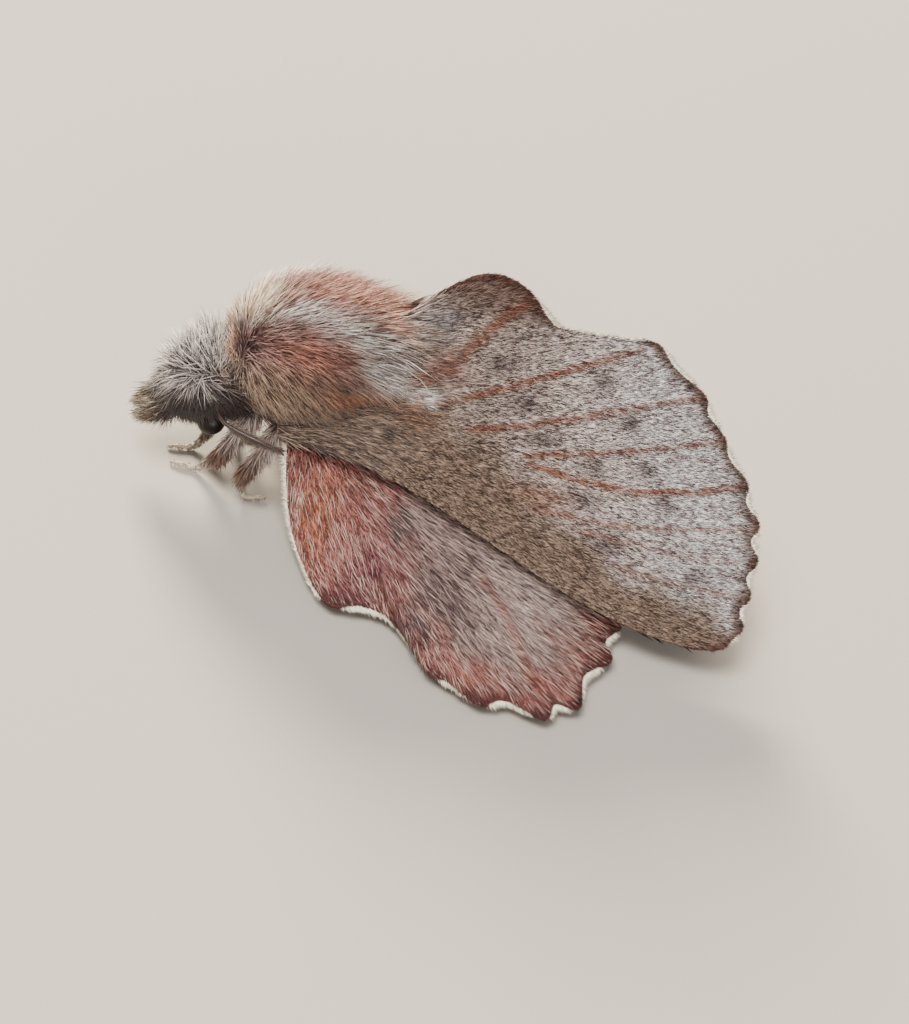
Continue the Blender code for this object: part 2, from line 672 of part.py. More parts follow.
def near_feature(point):
    """Whether a point on the head is close to an eye or the root of an antenna."""
    antenna, _ = on_ball(HEAD_CENTRE, HEAD_RADII, ANTENNA_ROOT)
    places = [Vector((p.x, side * p.y, p.z)) for p in (antenna, EYE_PLACE) for side in (1.0, -1.0)]
    return min((point - place).length for place in places) < HEAD_CLEAR


def head_locks(dice):
    """Hair that fans out from the crown, over the brow and down the cheeks."""
    locks = []
    side_way = CROWN.cross(Vector((0.0, 1.0, 0.0)))
    for ring, (angle, count) in enumerate(HEAD_RINGS):
        for step in range(count):
            scatter = dice.uniform(-HEAD_SCATTER, HEAD_SCATTER)
            turn = 2.0 * math.pi * (step + HEAD_STAGGER * (ring % 2) + scatter) / count
            outward = math.cos(turn) * side_way + math.sin(turn) * Vector((0.0, 1.0, 0.0))
            direction = math.cos(angle) * CROWN + math.sin(angle) * outward
            root, normal = on_ball(HEAD_CENTRE, HEAD_RADII, direction, 0.0)
            low_in_front = ring == len(HEAD_RINGS) - 1 and direction.x < HEAD_FRONT
            if direction.x > HEAD_BACK or low_in_front or near_feature(root):
                continue
            long = HEAD_LENGTH * (1.0 + dice.uniform(-LOCK_SCATTER, LOCK_SCATTER))
            way = outward + Vector((-HEAD_FORWARD, 0.0, 0.0))
            locks.append(lock(root, normal, way, long, HEAD_LOCK_WIDTH, HEAD_LIFT, 0.0))
    return locks


def carve_eye_sockets(head):
    """Takes a ball a little larger than each eye out of the head."""
    for side in (1.0, -1.0):
        place = Vector((EYE_PLACE.x, side * EYE_PLACE.y, EYE_PLACE.z))
        socket = ball("socket", "head", place, Vector((EYE_RADIUS + GAP,) * 3), EYE_FACETS)
        apply_boolean(head, socket, "DIFFERENCE")
        bpy.data.objects.remove(socket, do_unlink=True)


def apply_boolean(thing, other, operation):
    modifier = thing.modifiers.new("boolean", "BOOLEAN")
    modifier.operation = operation
    modifier.object = other
    graph = bpy.context.evaluated_depsgraph_get()
    mesh = bpy.data.meshes.new_from_object(thing.evaluated_get(graph))
    thing.modifiers.clear()
    thing.data = mesh


def make_eye():
    return ball("eye_left", "eye", EYE_PLACE, Vector((EYE_RADIUS,) * 3), EYE_FACETS)


def make_palp():
    root, normal = on_ball(HEAD_CENTRE, HEAD_RADII, PALP_ROOT)
    points = [root] + [root.lerp(PALP_TIP, share) for share in PALP_STEPS] + [PALP_TIP]
    radii = [PALP_NECK * PALP_RADIUS, PALP_RADIUS, PALP_NECK * PALP_RADIUS, PALP_TIP_RADIUS]
    palp = soft_tube("palp_left", "palp", points, radii, PALP_FACETS)
    join_all(palp, palp_locks(root, random.Random(SEEDS["palp"])))
    return palp


def palp_locks(root, dice):
    """Hair along the upper and outer side of a palp and past its tip."""
    way = (PALP_TIP - root).normalized()
    locks = []
    for step in range(PALP_LOCKS):
        turn = PALP_FAN * (2.0 * step / (PALP_LOCKS - 1) - 1.0) - PALP_LEAN
        normal = Vector((0.0, math.sin(turn), math.cos(turn)))
        normal = (normal - normal.dot(way) * way).normalized()
        share = PALP_FUR_START + dice.uniform(-PALP_SCATTER, PALP_SCATTER)
        start = root.lerp(PALP_TIP, share) + PALP_FUR_DEPTH * PALP_RADIUS * normal
        locks.append(lock(start, normal, way, PALP_FUR, PALP_FUR_WIDTH, FRINGE_LIFT, PALP_FUR_SAG))
    return locks


def make_antenna():
    root, normal = on_ball(HEAD_CENTRE, HEAD_RADII, ANTENNA_ROOT)
    points = [root, root + ANTENNA_STUB * normal] + ANTENNA_PATH
    antenna = soft_tube("antenna_left", "antenna", points, ANTENNA_RADII, ANTENNA_FACETS)
    line = smooth_line(points, ANTENNA_FACETS[1])
    join_all(antenna, [tooth for share in COMB_PLACES for tooth in comb_pair(line, share)])
    return antenna


def comb_pair(line, share):
    """A pair of flat comb teeth, one to each side of the antenna's shaft."""
    place = share * (len(line) - 1)
    index = int(place)
    root = line[index].lerp(line[index + 1], place - index)
    along = (line[index + 1] - line[index]).normalized()
    pair = []
    for way in COMB_WAYS:
        normal = way.cross(along).normalized()
        length = COMB_LENGTH * (COMB_FIRST - COMB_SHORTENS * share)
        pair.append(lock(root, normal, way, length, COMB_WIDTH, -LOCK_SINK, 0.0))
    return pair


def make_abdomen():
    points = [Vector((x, 0.0, z)) for x, z, _ in ABDOMEN_LINE]
    radii = [r for _, _, r in ABDOMEN_LINE]
    abdomen = soft_tube("abdomen", "abdomen", points, radii, ABDOMEN_FACETS)
    cut(abdomen, Vector((0.0, 0.0, 0.0)), Vector((0.0, 0.0, -1.0)))
    steps = ABDOMEN_FACETS[1]
    dice = random.Random(SEEDS["abdomen"])
    join_all(abdomen, abdomen_locks(smooth_line(points, steps), spread(radii, steps), dice))
    return abdomen


def abdomen_locks(points, radii, dice):
    """Rings of hair that lie back along the abdomen and make the tuft at its end."""
    locks = []
    for row, x in enumerate(ABDOMEN_TUFT_ROWS):
        index = min(range(len(points) - 1), key=lambda i: abs(points[i].x - x))
        along = (points[index + 1] - points[index]).normalized()
        up = Vector((0.0, 1.0, 0.0)).cross(along) * -1.0
        for turn in ABDOMEN_TURNS:
            turn += ABDOMEN_STAGGER * (row % 2) + dice.uniform(-ABDOMEN_SCATTER, ABDOMEN_SCATTER)
            normal = math.cos(turn) * up + math.sin(turn) * Vector((0.0, 1.0, 0.0))
            root = points[index] + radii[index] * normal
            way = along + Vector((0.0, 0.0, ABDOMEN_RISE))
            locks.append(lock(root, normal, way, ABDOMEN_TUFT, ABDOMEN_TUFT_WIDTH, 0.0, 0.0))
    return locks


def make_leg(name):
    direction, joints = LEGS[name]
    root, normal = on_ball(THORAX_CENTRE, THORAX_RADII, direction)
    points = [root, root + LEG_STUB * normal] + joints
    leg = soft_tube(name + "_left", "leg", points, LEG_RADII, LEG_FACETS)
    join_all(leg, leg_fringe(smooth_line(points, LEG_FACETS[1])))
    cut(leg, Vector((0.0, 0.0, 0.0)), Vector((0.0, 0.0, -1.0)))
    return leg


def leg_fringe(line):
    """Locks of hair down the outer side of a leg."""
    locks = []
    for step in range(LEG_FRINGE):
        index = LEG_FUR_START + LEG_FUR_EVERY * step
        along = (line[index + 1] - line[index - 1]).normalized()
        normal = (LEG_FUR_OUT - LEG_FUR_OUT.dot(along) * along).normalized()
        start = line[index] + LEG_FUR_DEPTH * LEG_RADII[0] * normal
        locks.append(lock(start, normal, along, LEG_FUR, LEG_FUR_WIDTH, FRINGE_LIFT, 0.0))
    return locks


def mirrored(thing):
    """The right-hand twin of a left-hand piece."""
    mesh = thing.data.copy()
    mesh.transform(Matrix.Scale(-1.0, 4, Vector((0.0, 1.0, 0.0))))
    mesh.flip_normals()
    twin = bpy.data.objects.new(thing.name.replace("_left", "_right"), mesh)
    bpy.context.scene.collection.objects.link(twin)
    return twin


def put_in_place():
    """Turns millimetres to metres about the point on the floor below the moth's middle."""
    shift = Matrix.Translation(Vector((-THORAX_TO_MIDDLE, 0.0, 0.0)))
    for thing in bpy.context.scene.objects:
        thing.data.transform(Matrix.Scale(MM, 4) @ shift)


def build():
    clear_scene()
    make_thorax()
    carve_eye_sockets(make_head())
    make_abdomen()
    make_forewing("forewing_left", fore_place)
    make_forewing("forewing_right", right_fore_place)
    sided = [make_eye(), make_palp(), make_antenna(), make_hindwing()]
    sided += [make_leg(name) for name in LEGS]
    for piece in sided:
        mirrored(piece)
    put_in_place()


build()
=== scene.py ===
# %% [markdown]
# # A lappet moth at rest, life size
#
# The moth sits with its forewings folded like a roof over its back and its
# hindwings pushed out flat below them, which hides the outline of an insect.
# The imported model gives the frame: where the body, wings, legs and feelers are.
# This lesson gives that frame its looks: one skin for the body, thin veined wings,
# and then the coat, which on a moth is hair and scales, each a small solid of its own.

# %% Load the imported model
import math

import bpy
import numpy as np
from mathutils import Matrix, Vector


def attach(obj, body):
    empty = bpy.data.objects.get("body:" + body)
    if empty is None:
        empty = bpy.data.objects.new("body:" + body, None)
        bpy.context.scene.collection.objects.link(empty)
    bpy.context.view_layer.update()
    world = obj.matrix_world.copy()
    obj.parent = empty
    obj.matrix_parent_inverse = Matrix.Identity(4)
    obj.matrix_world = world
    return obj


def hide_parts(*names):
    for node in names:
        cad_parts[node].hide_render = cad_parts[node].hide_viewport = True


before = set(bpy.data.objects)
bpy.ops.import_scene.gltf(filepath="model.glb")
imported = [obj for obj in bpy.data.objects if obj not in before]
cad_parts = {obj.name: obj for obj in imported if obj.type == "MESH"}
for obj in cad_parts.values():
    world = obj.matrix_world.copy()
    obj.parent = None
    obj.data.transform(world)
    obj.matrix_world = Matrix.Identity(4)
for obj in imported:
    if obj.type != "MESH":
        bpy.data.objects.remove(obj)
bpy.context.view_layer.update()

print("nodes in the frame:", len(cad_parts))

# %% [markdown]
# ## Working size
#
# A moth is so small that Blender's remesh tool, whose smallest voxel is a tenth of
# a millimetre, would be too coarse for it. So each piece is modelled with one unit
# for a millimetre, about the middle of the thorax, and is shrunk to metres at the end.

# %% Helpers for pieces
MM = 0.001
THORAX_TO_MIDDLE = 5.22  # mm from the middle of the thorax to the middle of the moth


def pick_only(*things):
    """Only these objects are selected, and the first is active."""
    bpy.ops.object.select_all(action="DESELECT")
    for thing in things:
        thing.select_set(True)
    bpy.context.view_layer.objects.active = things[0]


def settle(thing, material, slot, *nodes):
    """Shrinks a finished piece to metres at its place, and fixes it to the body."""
    pick_only(thing)
    bpy.ops.object.transform_apply(location=True, rotation=True, scale=True)
    thing.data.transform(Matrix.Scale(MM, 4) @ Matrix.Translation((-THORAX_TO_MIDDLE, 0, 0)))
    thing.data.materials.clear()
    thing.data.materials.append(material)
    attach(thing, "root")
    if nodes:
        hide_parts(*nodes)
    thing.data.calc_loop_triangles()
    print(f"{thing.name}: {len(thing.data.loop_triangles)} triangles")


def apply_all(thing):
    """Applies every modifier of a piece."""
    pick_only(thing)
    for modifier in list(thing.modifiers):
        bpy.ops.object.modifier_apply(modifier=modifier.name)


# %% [markdown]
# ## Colours
#
# Colours are picked as sRGB hex values and turned linear by one function.
# A moth's colour comes from thousands of scales, pale and dark mixed, so each place
# has a pair of colours, and every hair or scale takes a shade between the two.

# %% Helpers for colours
def linear(colour):
    """A hex colour as linear red, green and blue."""
    channels = np.array([int(colour[i:i + 2], 16) for i in (1, 3, 5)]) / 255
    return np.where(channels <= 0.04045, channels / 12.92, ((channels + 0.055) / 1.055) ** 2.4)


def step(values, low, high):
    """0 below low, 1 above high, and smooth between."""
    share = np.clip((values - low) / (high - low), 0, 1)
    return share * share * (3 - 2 * share)


def cloud(points, size, seed):
    """Soft noise between -1 and 1 with blotches about that size, from a few dozen waves."""
    dice = np.random.default_rng(seed)
    waves = dice.normal(size=(28, 3))
    waves *= (2 * math.pi / (2 * size)) / np.linalg.norm(waves, axis=1)[:, None]
    found = np.cos(points @ waves.T + dice.uniform(0, 2 * math.pi, 28)).sum(axis=1)
    return np.clip(found / 7.5, -1, 1)


def base_pair(count, pale, dark):
    """The same pale and dark colour for every place."""
    return [np.tile(linear(pale), (count, 1)), np.tile(linear(dark), (count, 1))]


def paint(pair, weight, pale, dark):
    """Blends a second pair of colours over the first by weight."""
    share = np.clip(weight, 0, 1)[:, None]
    pair[0] = pair[0] * (1 - share) + linear(pale) * share
    pair[1] = pair[1] * (1 - share) + linear(dark) * share


def spot(u, v, place, reach):
    """1 at a place of a surface, falling to 0 past its reach along and across."""
    return np.exp(-((u - place[0]) / reach[0]) ** 2 - ((v - place[1]) / reach[1]) ** 2)


def line_distance(u, v, line):
    """The distance of each place from a line of straight pieces, and its share along it."""
    best = np.full(len(u), 1e9)
    share = np.zeros(len(u))
    for index, ((ax, ay), (bx, by)) in enumerate(zip(line, line[1:])):
        t = ((u - ax) * (bx - ax) + (v - ay) * (by - ay)) / ((bx - ax) ** 2 + (by - ay) ** 2)
        t = np.clip(t, 0, 1)
        far = np.hypot(u - ax - t * (bx - ax), v - ay - t * (by - ay))
        share = np.where(far < best, (index + t) / (len(line) - 1), share)
        best = np.minimum(best, far)
    return best, share


# %% [markdown]
# ## The markings of the body
#
# The thorax is a furry ball, and its marks are named by where they sit on it: `along`
# runs from -1 at the collar to 1 at the back, and `turn` from 0 on the crest to 180
# below. A rust-pink crest runs along the top, grey-white hair lies beside it and
# sweeps down to a white tuft over the wing root, and the shoulder is rust.

# %% Marks of thorax, head and abdomen
THORAX_CENTRE = np.array([0.0, 0.0, 5.4])
THORAX_FUR = np.array([3.6, 3.0, 3.0])
HEAD_CENTRE = np.array([-3.4, 0.0, 3.35])
HEAD_FUR = np.array([1.9, 1.7, 1.75])

# along, turn, reach along, reach round, pale, dark
THORAX_MARKS = [
    (0.10, 150, 1.20, 42, "#94857A", "#43342E"),
    (-0.40, 98, 0.50, 26, "#BEA68C", "#42302A"),
    (0.50, 96, 0.60, 18, "#A2846A", "#3E2A20"),
    (0.45, 88, 0.35, 10, "#BE8056", "#663A26"),
    (-0.72, 46, 0.24, 30, "#A27C78", "#3A2226"),
    (-0.10, 60, 0.50, 17, "#CE8E7C", "#64362C"),
    (0.35, 58, 0.36, 12, "#A06856", "#462620"),
    (0.15, 78, 0.32, 6, "#7E5A4A", "#2A1A14"),
    (-0.26, 25, 0.40, 8, "#FFFAF6", "#96827C"),
    (0.06, 34, 0.24, 7, "#EEE0DA", "#6C5852"),
    (0.46, 42, 0.30, 9, "#FAF2EC", "#4C403C"),
    (0.68, 60, 0.26, 11, "#FFFFFC", "#7A6A62"),
    (0.84, 78, 0.24, 12, "#FFFFFF", "#D8C8BC"),
    (0.16, 8, 0.62, 13, "#ECB6A2", "#6A362C"),
    (0.74, 14, 0.24, 18, "#FFD4BC", "#A0604A"),
    (-0.72, 6, 0.20, 20, "#FFF6E2", "#BCA286"),
    # painted shadow: a thin dark maroon line just behind the tan collar, where the ruff shades the thorax
    (-0.88, 62, 0.06, 40, "#76585A", "#28161A"),
    (-0.97, 60, 0.035, 60, "#FFD29A", "#9E6E48"),
]


def thorax_pair(points):
    """Pale and dark colours of the thorax's coat."""
    way = (points - THORAX_CENTRE) / THORAX_FUR
    way /= np.linalg.norm(way, axis=1)[:, None]
    rag = cloud(points, 0.5, 3)
    along = way[:, 0] + 0.05 * rag
    turn = np.degrees(np.arctan2(np.abs(way[:, 1]), way[:, 2])) + 4 * cloud(points, 0.4, 4)
    pair = base_pair(len(points), "#AA948C", "#563E3A")
    for mark_along, mark_turn, reach, arc, pale, dark in THORAX_MARKS:
        paint(pair, 1.15 * spot(along, turn, (mark_along, mark_turn), (reach, arc)), pale, dark)
    paint(pair, step(-along, 0.93, 1.0), "#B8B0AA", "#4A403C")
    return pair


def head_pair(points):
    """Pale and dark colours of the head's coat: grey on top, near black on the cheeks and below, partly
    painted shade.
    """
    way = (points - HEAD_CENTRE) / HEAD_FUR
    outward = np.abs(way[:, 1])
    pair = base_pair(len(points), "#E6DCD8", "#342A28")
    paint(pair, step(way[:, 2], 0.5, 0.85), "#CEC6C2", "#2A201E")
    paint(pair, step(way[:, 0], -0.1, 0.4) * step(outward, 0.35, 0.7), "#6A544A", "#1C100E")
    paint(pair, 0.9 * step(way[:, 0], 0.05, 0.35) * step(way[:, 2], 0.1, 0.5), "#7A6A64", "#1A1110")
    # Painted shade: the cheeks, dark of their own, and the whole lower half of the head go near black for the
    # shade under the head.
    cheek = step(-way[:, 2] + 0.3 * way[:, 0], -0.55, -0.2) * step(outward, 0.35, 0.65)
    paint(pair, np.maximum(cheek, step(-way[:, 2], -0.1, 0.25)), "#382826", "#0C0606")
    paint(pair, step(-way[:, 2], 0.0, 0.3) * step(-way[:, 0], 0.7, 0.95), "#86725E", "#1E1410")
    return pair


def abdomen_pair(points):
    """Pale and dark colours of the abdomen's coat."""
    pair = base_pair(len(points), "#B4948A", "#5E4440")
    paint(pair, step(points[:, 0], 7.5, 10), "#C7A89A", "#75564C")
    return pair


# %% [markdown]
# ## The markings of the wings
#
# A place on the forewing is given as on a pattern for a roof: `x` along the body and
# `down` from the ridge. Grey-mauve, with whitish scales between the veins further out,
# an olive-brown front edge, rust veins, smoky spots and a dark margin.

# %% Marks of the forewing
COSTA_LINE = [(-0.72, 5.49), (1.0, 5.61), (2.07, 5.85), (3.5, 6.3), (5.35, 7.07), (7.0, 7.84), (8.21, 8.42),
              (10.0, 9.21), (11.24, 9.68), (13.56, 10.27), (17, 11.3)]
OLIVE_WIDTH = [(4.0, 3.4), (6.8, 2.8), (9.0, 2.15), (14.0, 1.9), (15.5, 1.2)]
# the line, half its width, how strong
FORE_VEINS = [
    ([(2.6, 2.7), (3.8, 1.9), (4.9, 0.85), (6.1, -0.7)], 0.36, 0.85),
    ([(3.9, 3.25), (5.6, 2.6), (7.51, 1.74), (9.2, 0.95), (10.7, 0.25)], 0.17, 0.85),
    ([(5.2, 3.95), (7.2, 3.45), (9.16, 2.83), (11.4, 2.1), (13.6, 1.4)], 0.15, 0.8),
    ([(7.3, 4.5), (9.1, 4.15), (10.78, 3.79), (12.6, 3.35), (14.7, 2.8)], 0.14, 0.75),
    ([(7.46, 4.75), (9.2, 5.05), (11.44, 5.12), (13.5, 4.8), (15.7, 4.25)], 0.16, 0.9),
    ([(8.0, 6.2), (10.45, 6.4), (12.8, 6.2), (15.9, 5.75)], 0.13, 0.6),
    ([(9.4, 6.7), (11.76, 6.97), (13.8, 7.1), (16.1, 7.0)], 0.12, 0.45),
    ([(11.0, 7.8), (13.0, 8.09), (15.9, 8.3)], 0.12, 0.4),
]
WHITE_TUFT = [(1.6, 2.9), (2.4, 3.05), (3.4, 3.25)]
# x, down, reach along, reach down
FORE_SMUDGES = [
    (5.96, 1.52, 0.45, 0.3), (6.86, 2.8, 0.5, 0.38), (7.87, 3.85, 0.6, 0.36), (9.53, 5.63, 0.6, 0.3),
    (12.45, 5.35, 0.45, 0.45), (13.88, 7.75, 0.5, 0.4), (10.88, 2.82, 0.4, 0.35), (10.46, 7.1, 0.6, 0.4),
    (9.6, 1.6, 0.4, 0.4), (11.6, 4.4, 0.4, 0.35), (3.9, 0.3, 0.5, 0.35), (9.75, 4.5, 0.5, 0.3),
]


def forewing_pair(x, down, edge, bay, points):
    """Pale and dark colours of the forewing; edge is the distance from the margin."""
    rag = cloud(points, 0.9, 11)
    fine = cloud(points, 0.3, 12)
    pair = base_pair(len(x), "#CABAB0", "#3A2A26")
    paint(pair, step(x, 5.5, 9.5), "#F4E6E0", "#463230")
    outer = step(x, 8.0, 12.0) * (1 - step(edge, 2.2, 5.5))
    paint(pair, outer * (0.9 + 0.3 * fine), "#FFFFFF", "#645050")
    from_costa = np.interp(x, *zip(*COSTA_LINE)) - down
    width = np.interp(x, *zip(*OLIVE_WIDTH))
    paint(pair, 1 - step(from_costa + 0.5 * rag, width - 1.2, width + 1.1), "#9E8674", "#30221C")
    paint(pair, step(-down, -0.4, 0.9) * (1 - step(x, 6.6, 7.2)), "#9A8076", "#2C1C18")
    paint(pair, 0.9 * spot(x, down, (3.7, 2.1), (0.9, 0.55)), "#A26450", "#5A3024")
    paint(pair, 0.8 * spot(x, down, (2.94, 3.74), (0.9, 0.5)), "#A8744E", "#563420")
    paint(pair, 0.7 * spot(x, down, (8.3, 5.75), (1.1, 0.35)), "#B6886E", "#643C2E")
    paint(pair, 0.8 * spot(x, down, (3.4, 0.5), (0.6, 0.5)), "#B2A6A8", "#3E3438")
    far, _ = line_distance(x, down, WHITE_TUFT)
    paint(pair, 1.1 * np.exp(-(far / 0.24) ** 2), "#FFFFFF", "#C8B8AC")
    for spot_x, spot_down, reach, drop in FORE_SMUDGES:
        smoke = (0.8 + 0.3 * fine) * spot(x, down, (spot_x, spot_down), (reach, drop))
        paint(pair, smoke, "#807270", "#2A2024")
    for line, half, strength in FORE_VEINS:
        far, share = line_distance(x, down, line)
        rough = np.clip(strength * (1 + 0.3 * fine), 0, 1) * (1 - 0.25 * share)
        paint(pair, 1.25 * rough * np.exp(-(far / (0.6 * half)) ** 2), "#A87460", "#62301F")
    band = (1 - step(edge + 0.12 * fine, 0.05, 0.5)) * (1 - 0.15 * bay)
    paint(pair, 0.95 * band, "#6E483E", "#28130D")
    return pair


# %% [markdown]
# The hindwing's pattern lies flat: `x` along the body and `out` sideways. It is maroon
# with orange and pink streaks in front, smoky mauve in the middle, and maroon again
# towards the margin.

# %% Marks of the hindwing
# x, out, reach along, reach out
HIND_SMUDGES = [
    (3.18, 4.71, 0.5, 0.7), (5.05, 7.6, 0.55, 0.9), (4.14, 6.59, 0.5, 0.8), (3.86, 8.1, 0.75, 0.95),
    (5.3, 5.8, 0.65, 0.7), (3.45, 3.95, 0.5, 0.6),
]
# the line, half its width, how strong
HIND_STREAKS = [
    ([(6.16, 6.03), (6.7, 7.01), (7.16, 8.22), (7.68, 9.72)], 0.16, 0.6),
    ([(4.61, 8.39), (4.89, 9.37), (5.43, 10.59)], 0.2, 0.4),
    ([(8.05, 7.04), (8.96, 8.15), (9.39, 9.74)], 0.14, 0.3),
]
HIND_ARC = [(1.44, 5.09), (1.81, 4.81), (2.32, 5.04), (2.8, 5.38)]


def hindwing_pair(x, out, edge, bay, points):
    """Pale and dark colours of the hindwing; edge is the distance from the margin."""
    rag = cloud(points, 0.9, 21)
    fine = cloud(points, 0.3, 22)
    pair = base_pair(len(x), "#BC7E74", "#4C2024")
    inner = 0.85 * step(x - 0.22 * out + 0.5 * rag, 1.6, 3.4) * step(edge + 0.5 * rag + 0.08 * x, 0.8, 3.0)
    paint(pair, inner, "#C0AAA4", "#3C2C2A")
    paint(pair, 0.85 * step(x, 4.5, 8.5) * step(edge, 0.9, 3.0) * (0.8 + 0.3 * fine), "#E8DAD4", "#544240")
    paint(pair, 0.8 * spot(x, out, (0.75, 3.7), (0.5, 1.3)), "#C47E5A", "#64301F")
    paint(pair, 0.8 * spot(x, out, (2.49, 5.94), (0.9, 0.9)), "#98646A", "#44202A")
    paint(pair, spot(x, out, (1.3, 7.1), (1.3, 0.8)), "#663A40", "#241018")
    paint(pair, 0.75 * spot(x, out, (2.15, 2.75), (0.7, 0.8)), "#8A5C54", "#321A18")
    for spot_x, spot_out, reach, drop in HIND_SMUDGES:
        smoke = (0.9 + 0.25 * fine) * spot(x, out, (spot_x, spot_out), (reach, drop))
        paint(pair, smoke, "#7E6A68", "#2C2026")
    for line, half, strength in HIND_STREAKS:
        far, _ = line_distance(x, out, line)
        paint(pair, strength * (1 + 0.4 * fine) * np.exp(-(far / half) ** 2), "#B0685A", "#5C2A26")
    far, _ = line_distance(x, out, HIND_ARC)
    paint(pair, 0.55 * np.exp(-(far / 0.1) ** 2), "#D9B0A6", "#A0706C")
    paint(pair, (1 - step(edge, 0.12, 0.5)) * (1 - 0.2 * bay), "#744442", "#2A1216")
    return pair


# %% [markdown]
# ## Materials
#
# All of a moth is chitin: the skin is a dull horn, the hairs and scales are thin
# hollow blades of it with a soft shine, and the eye is a polished lens.
# Colour comes from each piece's own `markings` attribute, and nodes add the grain.

# %% Materials
def add_node(tree, kind, links=(), **settings):
    """Adds a node with its settings, and links (output, input name) pairs into it."""
    node = tree.nodes.new(kind)
    for name, value in settings.items():
        if name in node.inputs:
            node.inputs[name].default_value = value
        else:
            setattr(node, name, value)
    for output, name in links:
        tree.links.new(output, node.inputs[name])
    return node


def per_mm(size):
    """The texture scale that gives cells this many millimetres across."""
    return 1 / (size * MM)


def chitin(name, grain, contrast, bump, sockets):
    """Chitin coloured by the markings, with a grain this many mm across and a bump."""
    material = bpy.data.materials.new(name)
    material.use_nodes = True
    tree = material.node_tree
    shader = tree.nodes["Principled BSDF"]
    for socket, value in sockets.items():
        shader.inputs[socket].default_value = value
    place = add_node(tree, "ShaderNodeTexCoord").outputs["Object"]
    marks = add_node(tree, "ShaderNodeAttribute", attribute_name="markings")
    noise = add_node(tree, "ShaderNodeTexNoise", [(place, "Vector")], Scale=per_mm(grain), Detail=3.0)
    shade = add_node(tree, "ShaderNodeMapRange", [(noise.outputs["Fac"], "Value")])
    ends = (("From Min", 0.3), ("From Max", 0.7), ("To Min", 1 - contrast), ("To Max", 1 + contrast))
    for socket, value in ends:
        shade.inputs[socket].default_value = value
    tinted = add_node(tree, "ShaderNodeVectorMath",
                      [(marks.outputs["Color"], "Vector"), (shade.outputs["Result"], "Scale")],
                      operation="SCALE")
    tree.links.new(tinted.outputs["Vector"], shader.inputs["Base Color"])
    relief = add_node(tree, "ShaderNodeBump", [(noise.outputs["Fac"], "Height")],
                      Strength=bump, Distance=0.05 * MM)
    tree.links.new(relief.outputs["Normal"], shader.inputs["Normal"])
    return material


def shine(roughness, specular, sheen=0.0):
    """How rough and shiny the surface is, as sockets of the shader."""
    return {"Roughness": roughness, "Specular IOR Level": specular, "Sheen Weight": sheen}


HAIR = chitin("hair scales of chitin", 0.4, 0.12, 0.0, shine(0.6, 0.3, 0.1))
SCALES = chitin("wing scales of chitin", 0.3, 0.12, 0.0, shine(0.55, 0.35))
SKIN = chitin("cuticle under the coat", 0.15, 0.25, 0.6, shine(0.8, 0.2))
MEMBRANE = chitin("wing membrane under the scales", 0.06, 0.3, 0.5, shine(0.7, 0.25))
HORN = chitin("dark horn of the feelers", 0.1, 0.2, 0.3, shine(0.4, 0.5))


def eye_glass():
    """Polished cornea of a compound eye: hundreds of lenses, each a shallow dome."""
    material = bpy.data.materials.new("cornea of the compound eye")
    material.use_nodes = True
    tree = material.node_tree
    shader = tree.nodes["Principled BSDF"]
    # near black: the cornea's own dark, deepened as painted shade for the shadow the eye lies in under the
    # head
    shader.inputs["Base Color"].default_value = (*linear("#0E0607"), 1)
    shader.inputs["Roughness"].default_value = 0.3
    shader.inputs["Specular IOR Level"].default_value = 0.2
    place = add_node(tree, "ShaderNodeTexCoord").outputs["Object"]
    cells = add_node(tree, "ShaderNodeTexVoronoi", [(place, "Vector")], Scale=per_mm(0.03))
    dome = add_node(tree, "ShaderNodeBump", [(cells.outputs["Distance"], "Height")],
                    Strength=0.35, Distance=0.01 * MM)
    dome.invert = True
    tree.links.new(dome.outputs["Normal"], shader.inputs["Normal"])
    return material


EYE = eye_glass()


def colour_mesh(mesh, colours):
    """Stores a linear colour for each point as the markings."""
    layer = mesh.color_attributes.new("markings", "FLOAT_COLOR", "POINT")
    data = np.ones((len(mesh.vertices), 4), dtype=np.float32)
    data[:, :3] = np.clip(colours, 0, 1)
    layer.data.foreach_set("color", data.ravel())


# %% [markdown]
# ## The skin of the body
#
# Thorax, head, abdomen, palps and legs are one skin on a live moth, so they are
# rough-shaped apart, joined and voxel-remeshed, which welds them with no seam.
# The skin lies well inside the outline, because the coat stands on it.

# %% Rough shapes
# The lines of palps and legs are x, y, z on the right side. The abdomen's are x, z, radius.
THORAX_SKIN = Vector((2.9, 2.35, 2.4))
HEAD_SKIN = Vector((1.35, 1.1, 1.15))
ABDOMEN_LINE = [(1.5, 4.2, 1.0), (2.92, 4.0, 1.05), (3.7, 3.85, 1.28), (4.8, 3.6, 1.38), (6.0, 3.15, 1.38),
                (7.1, 2.55, 1.33), (8.1, 1.85, 1.23), (9.0, 1.15, 1.02), (9.8, 0.8, 0.68), (10.3, 0.65, 0.3)]
PALP_LINE = [(-4.1, 0.3, 2.85), (-4.75, 0.36, 2.35), (-5.2, 0.36, 1.95)]
PALP_RADII = [0.34, 0.28, 0.14]
LEG_RADII = [0.32, 0.24, 0.2, 0.12, 0.1, 0.06]
LEG_LINES = {
    "fore": [(-1.5, 0.9, 3.4), (-2.3, 1.3, 1.65), (-2.55, 0.85, 0.7),
             (-2.95, 0.6, 0.17), (-3.5, 0.5, 0.13), (-3.95, 0.4, 0.12)],
    "mid": [(-0.4, 1.0, 3.3), (-1.3, 1.95, 1.95), (-1.6, 1.9, 1.0),
            (-1.3, 1.8, 0.17), (-0.9, 1.7, 0.13), (-0.4, 1.6, 0.12)],
    "hind": [(1.0, 0.9, 3.2), (1.9, 1.35, 1.5), (3.2, 1.6, 0.75),
             (4.3, 1.7, 0.17), (5.0, 1.8, 0.13), (5.8, 1.9, 0.12)],
}


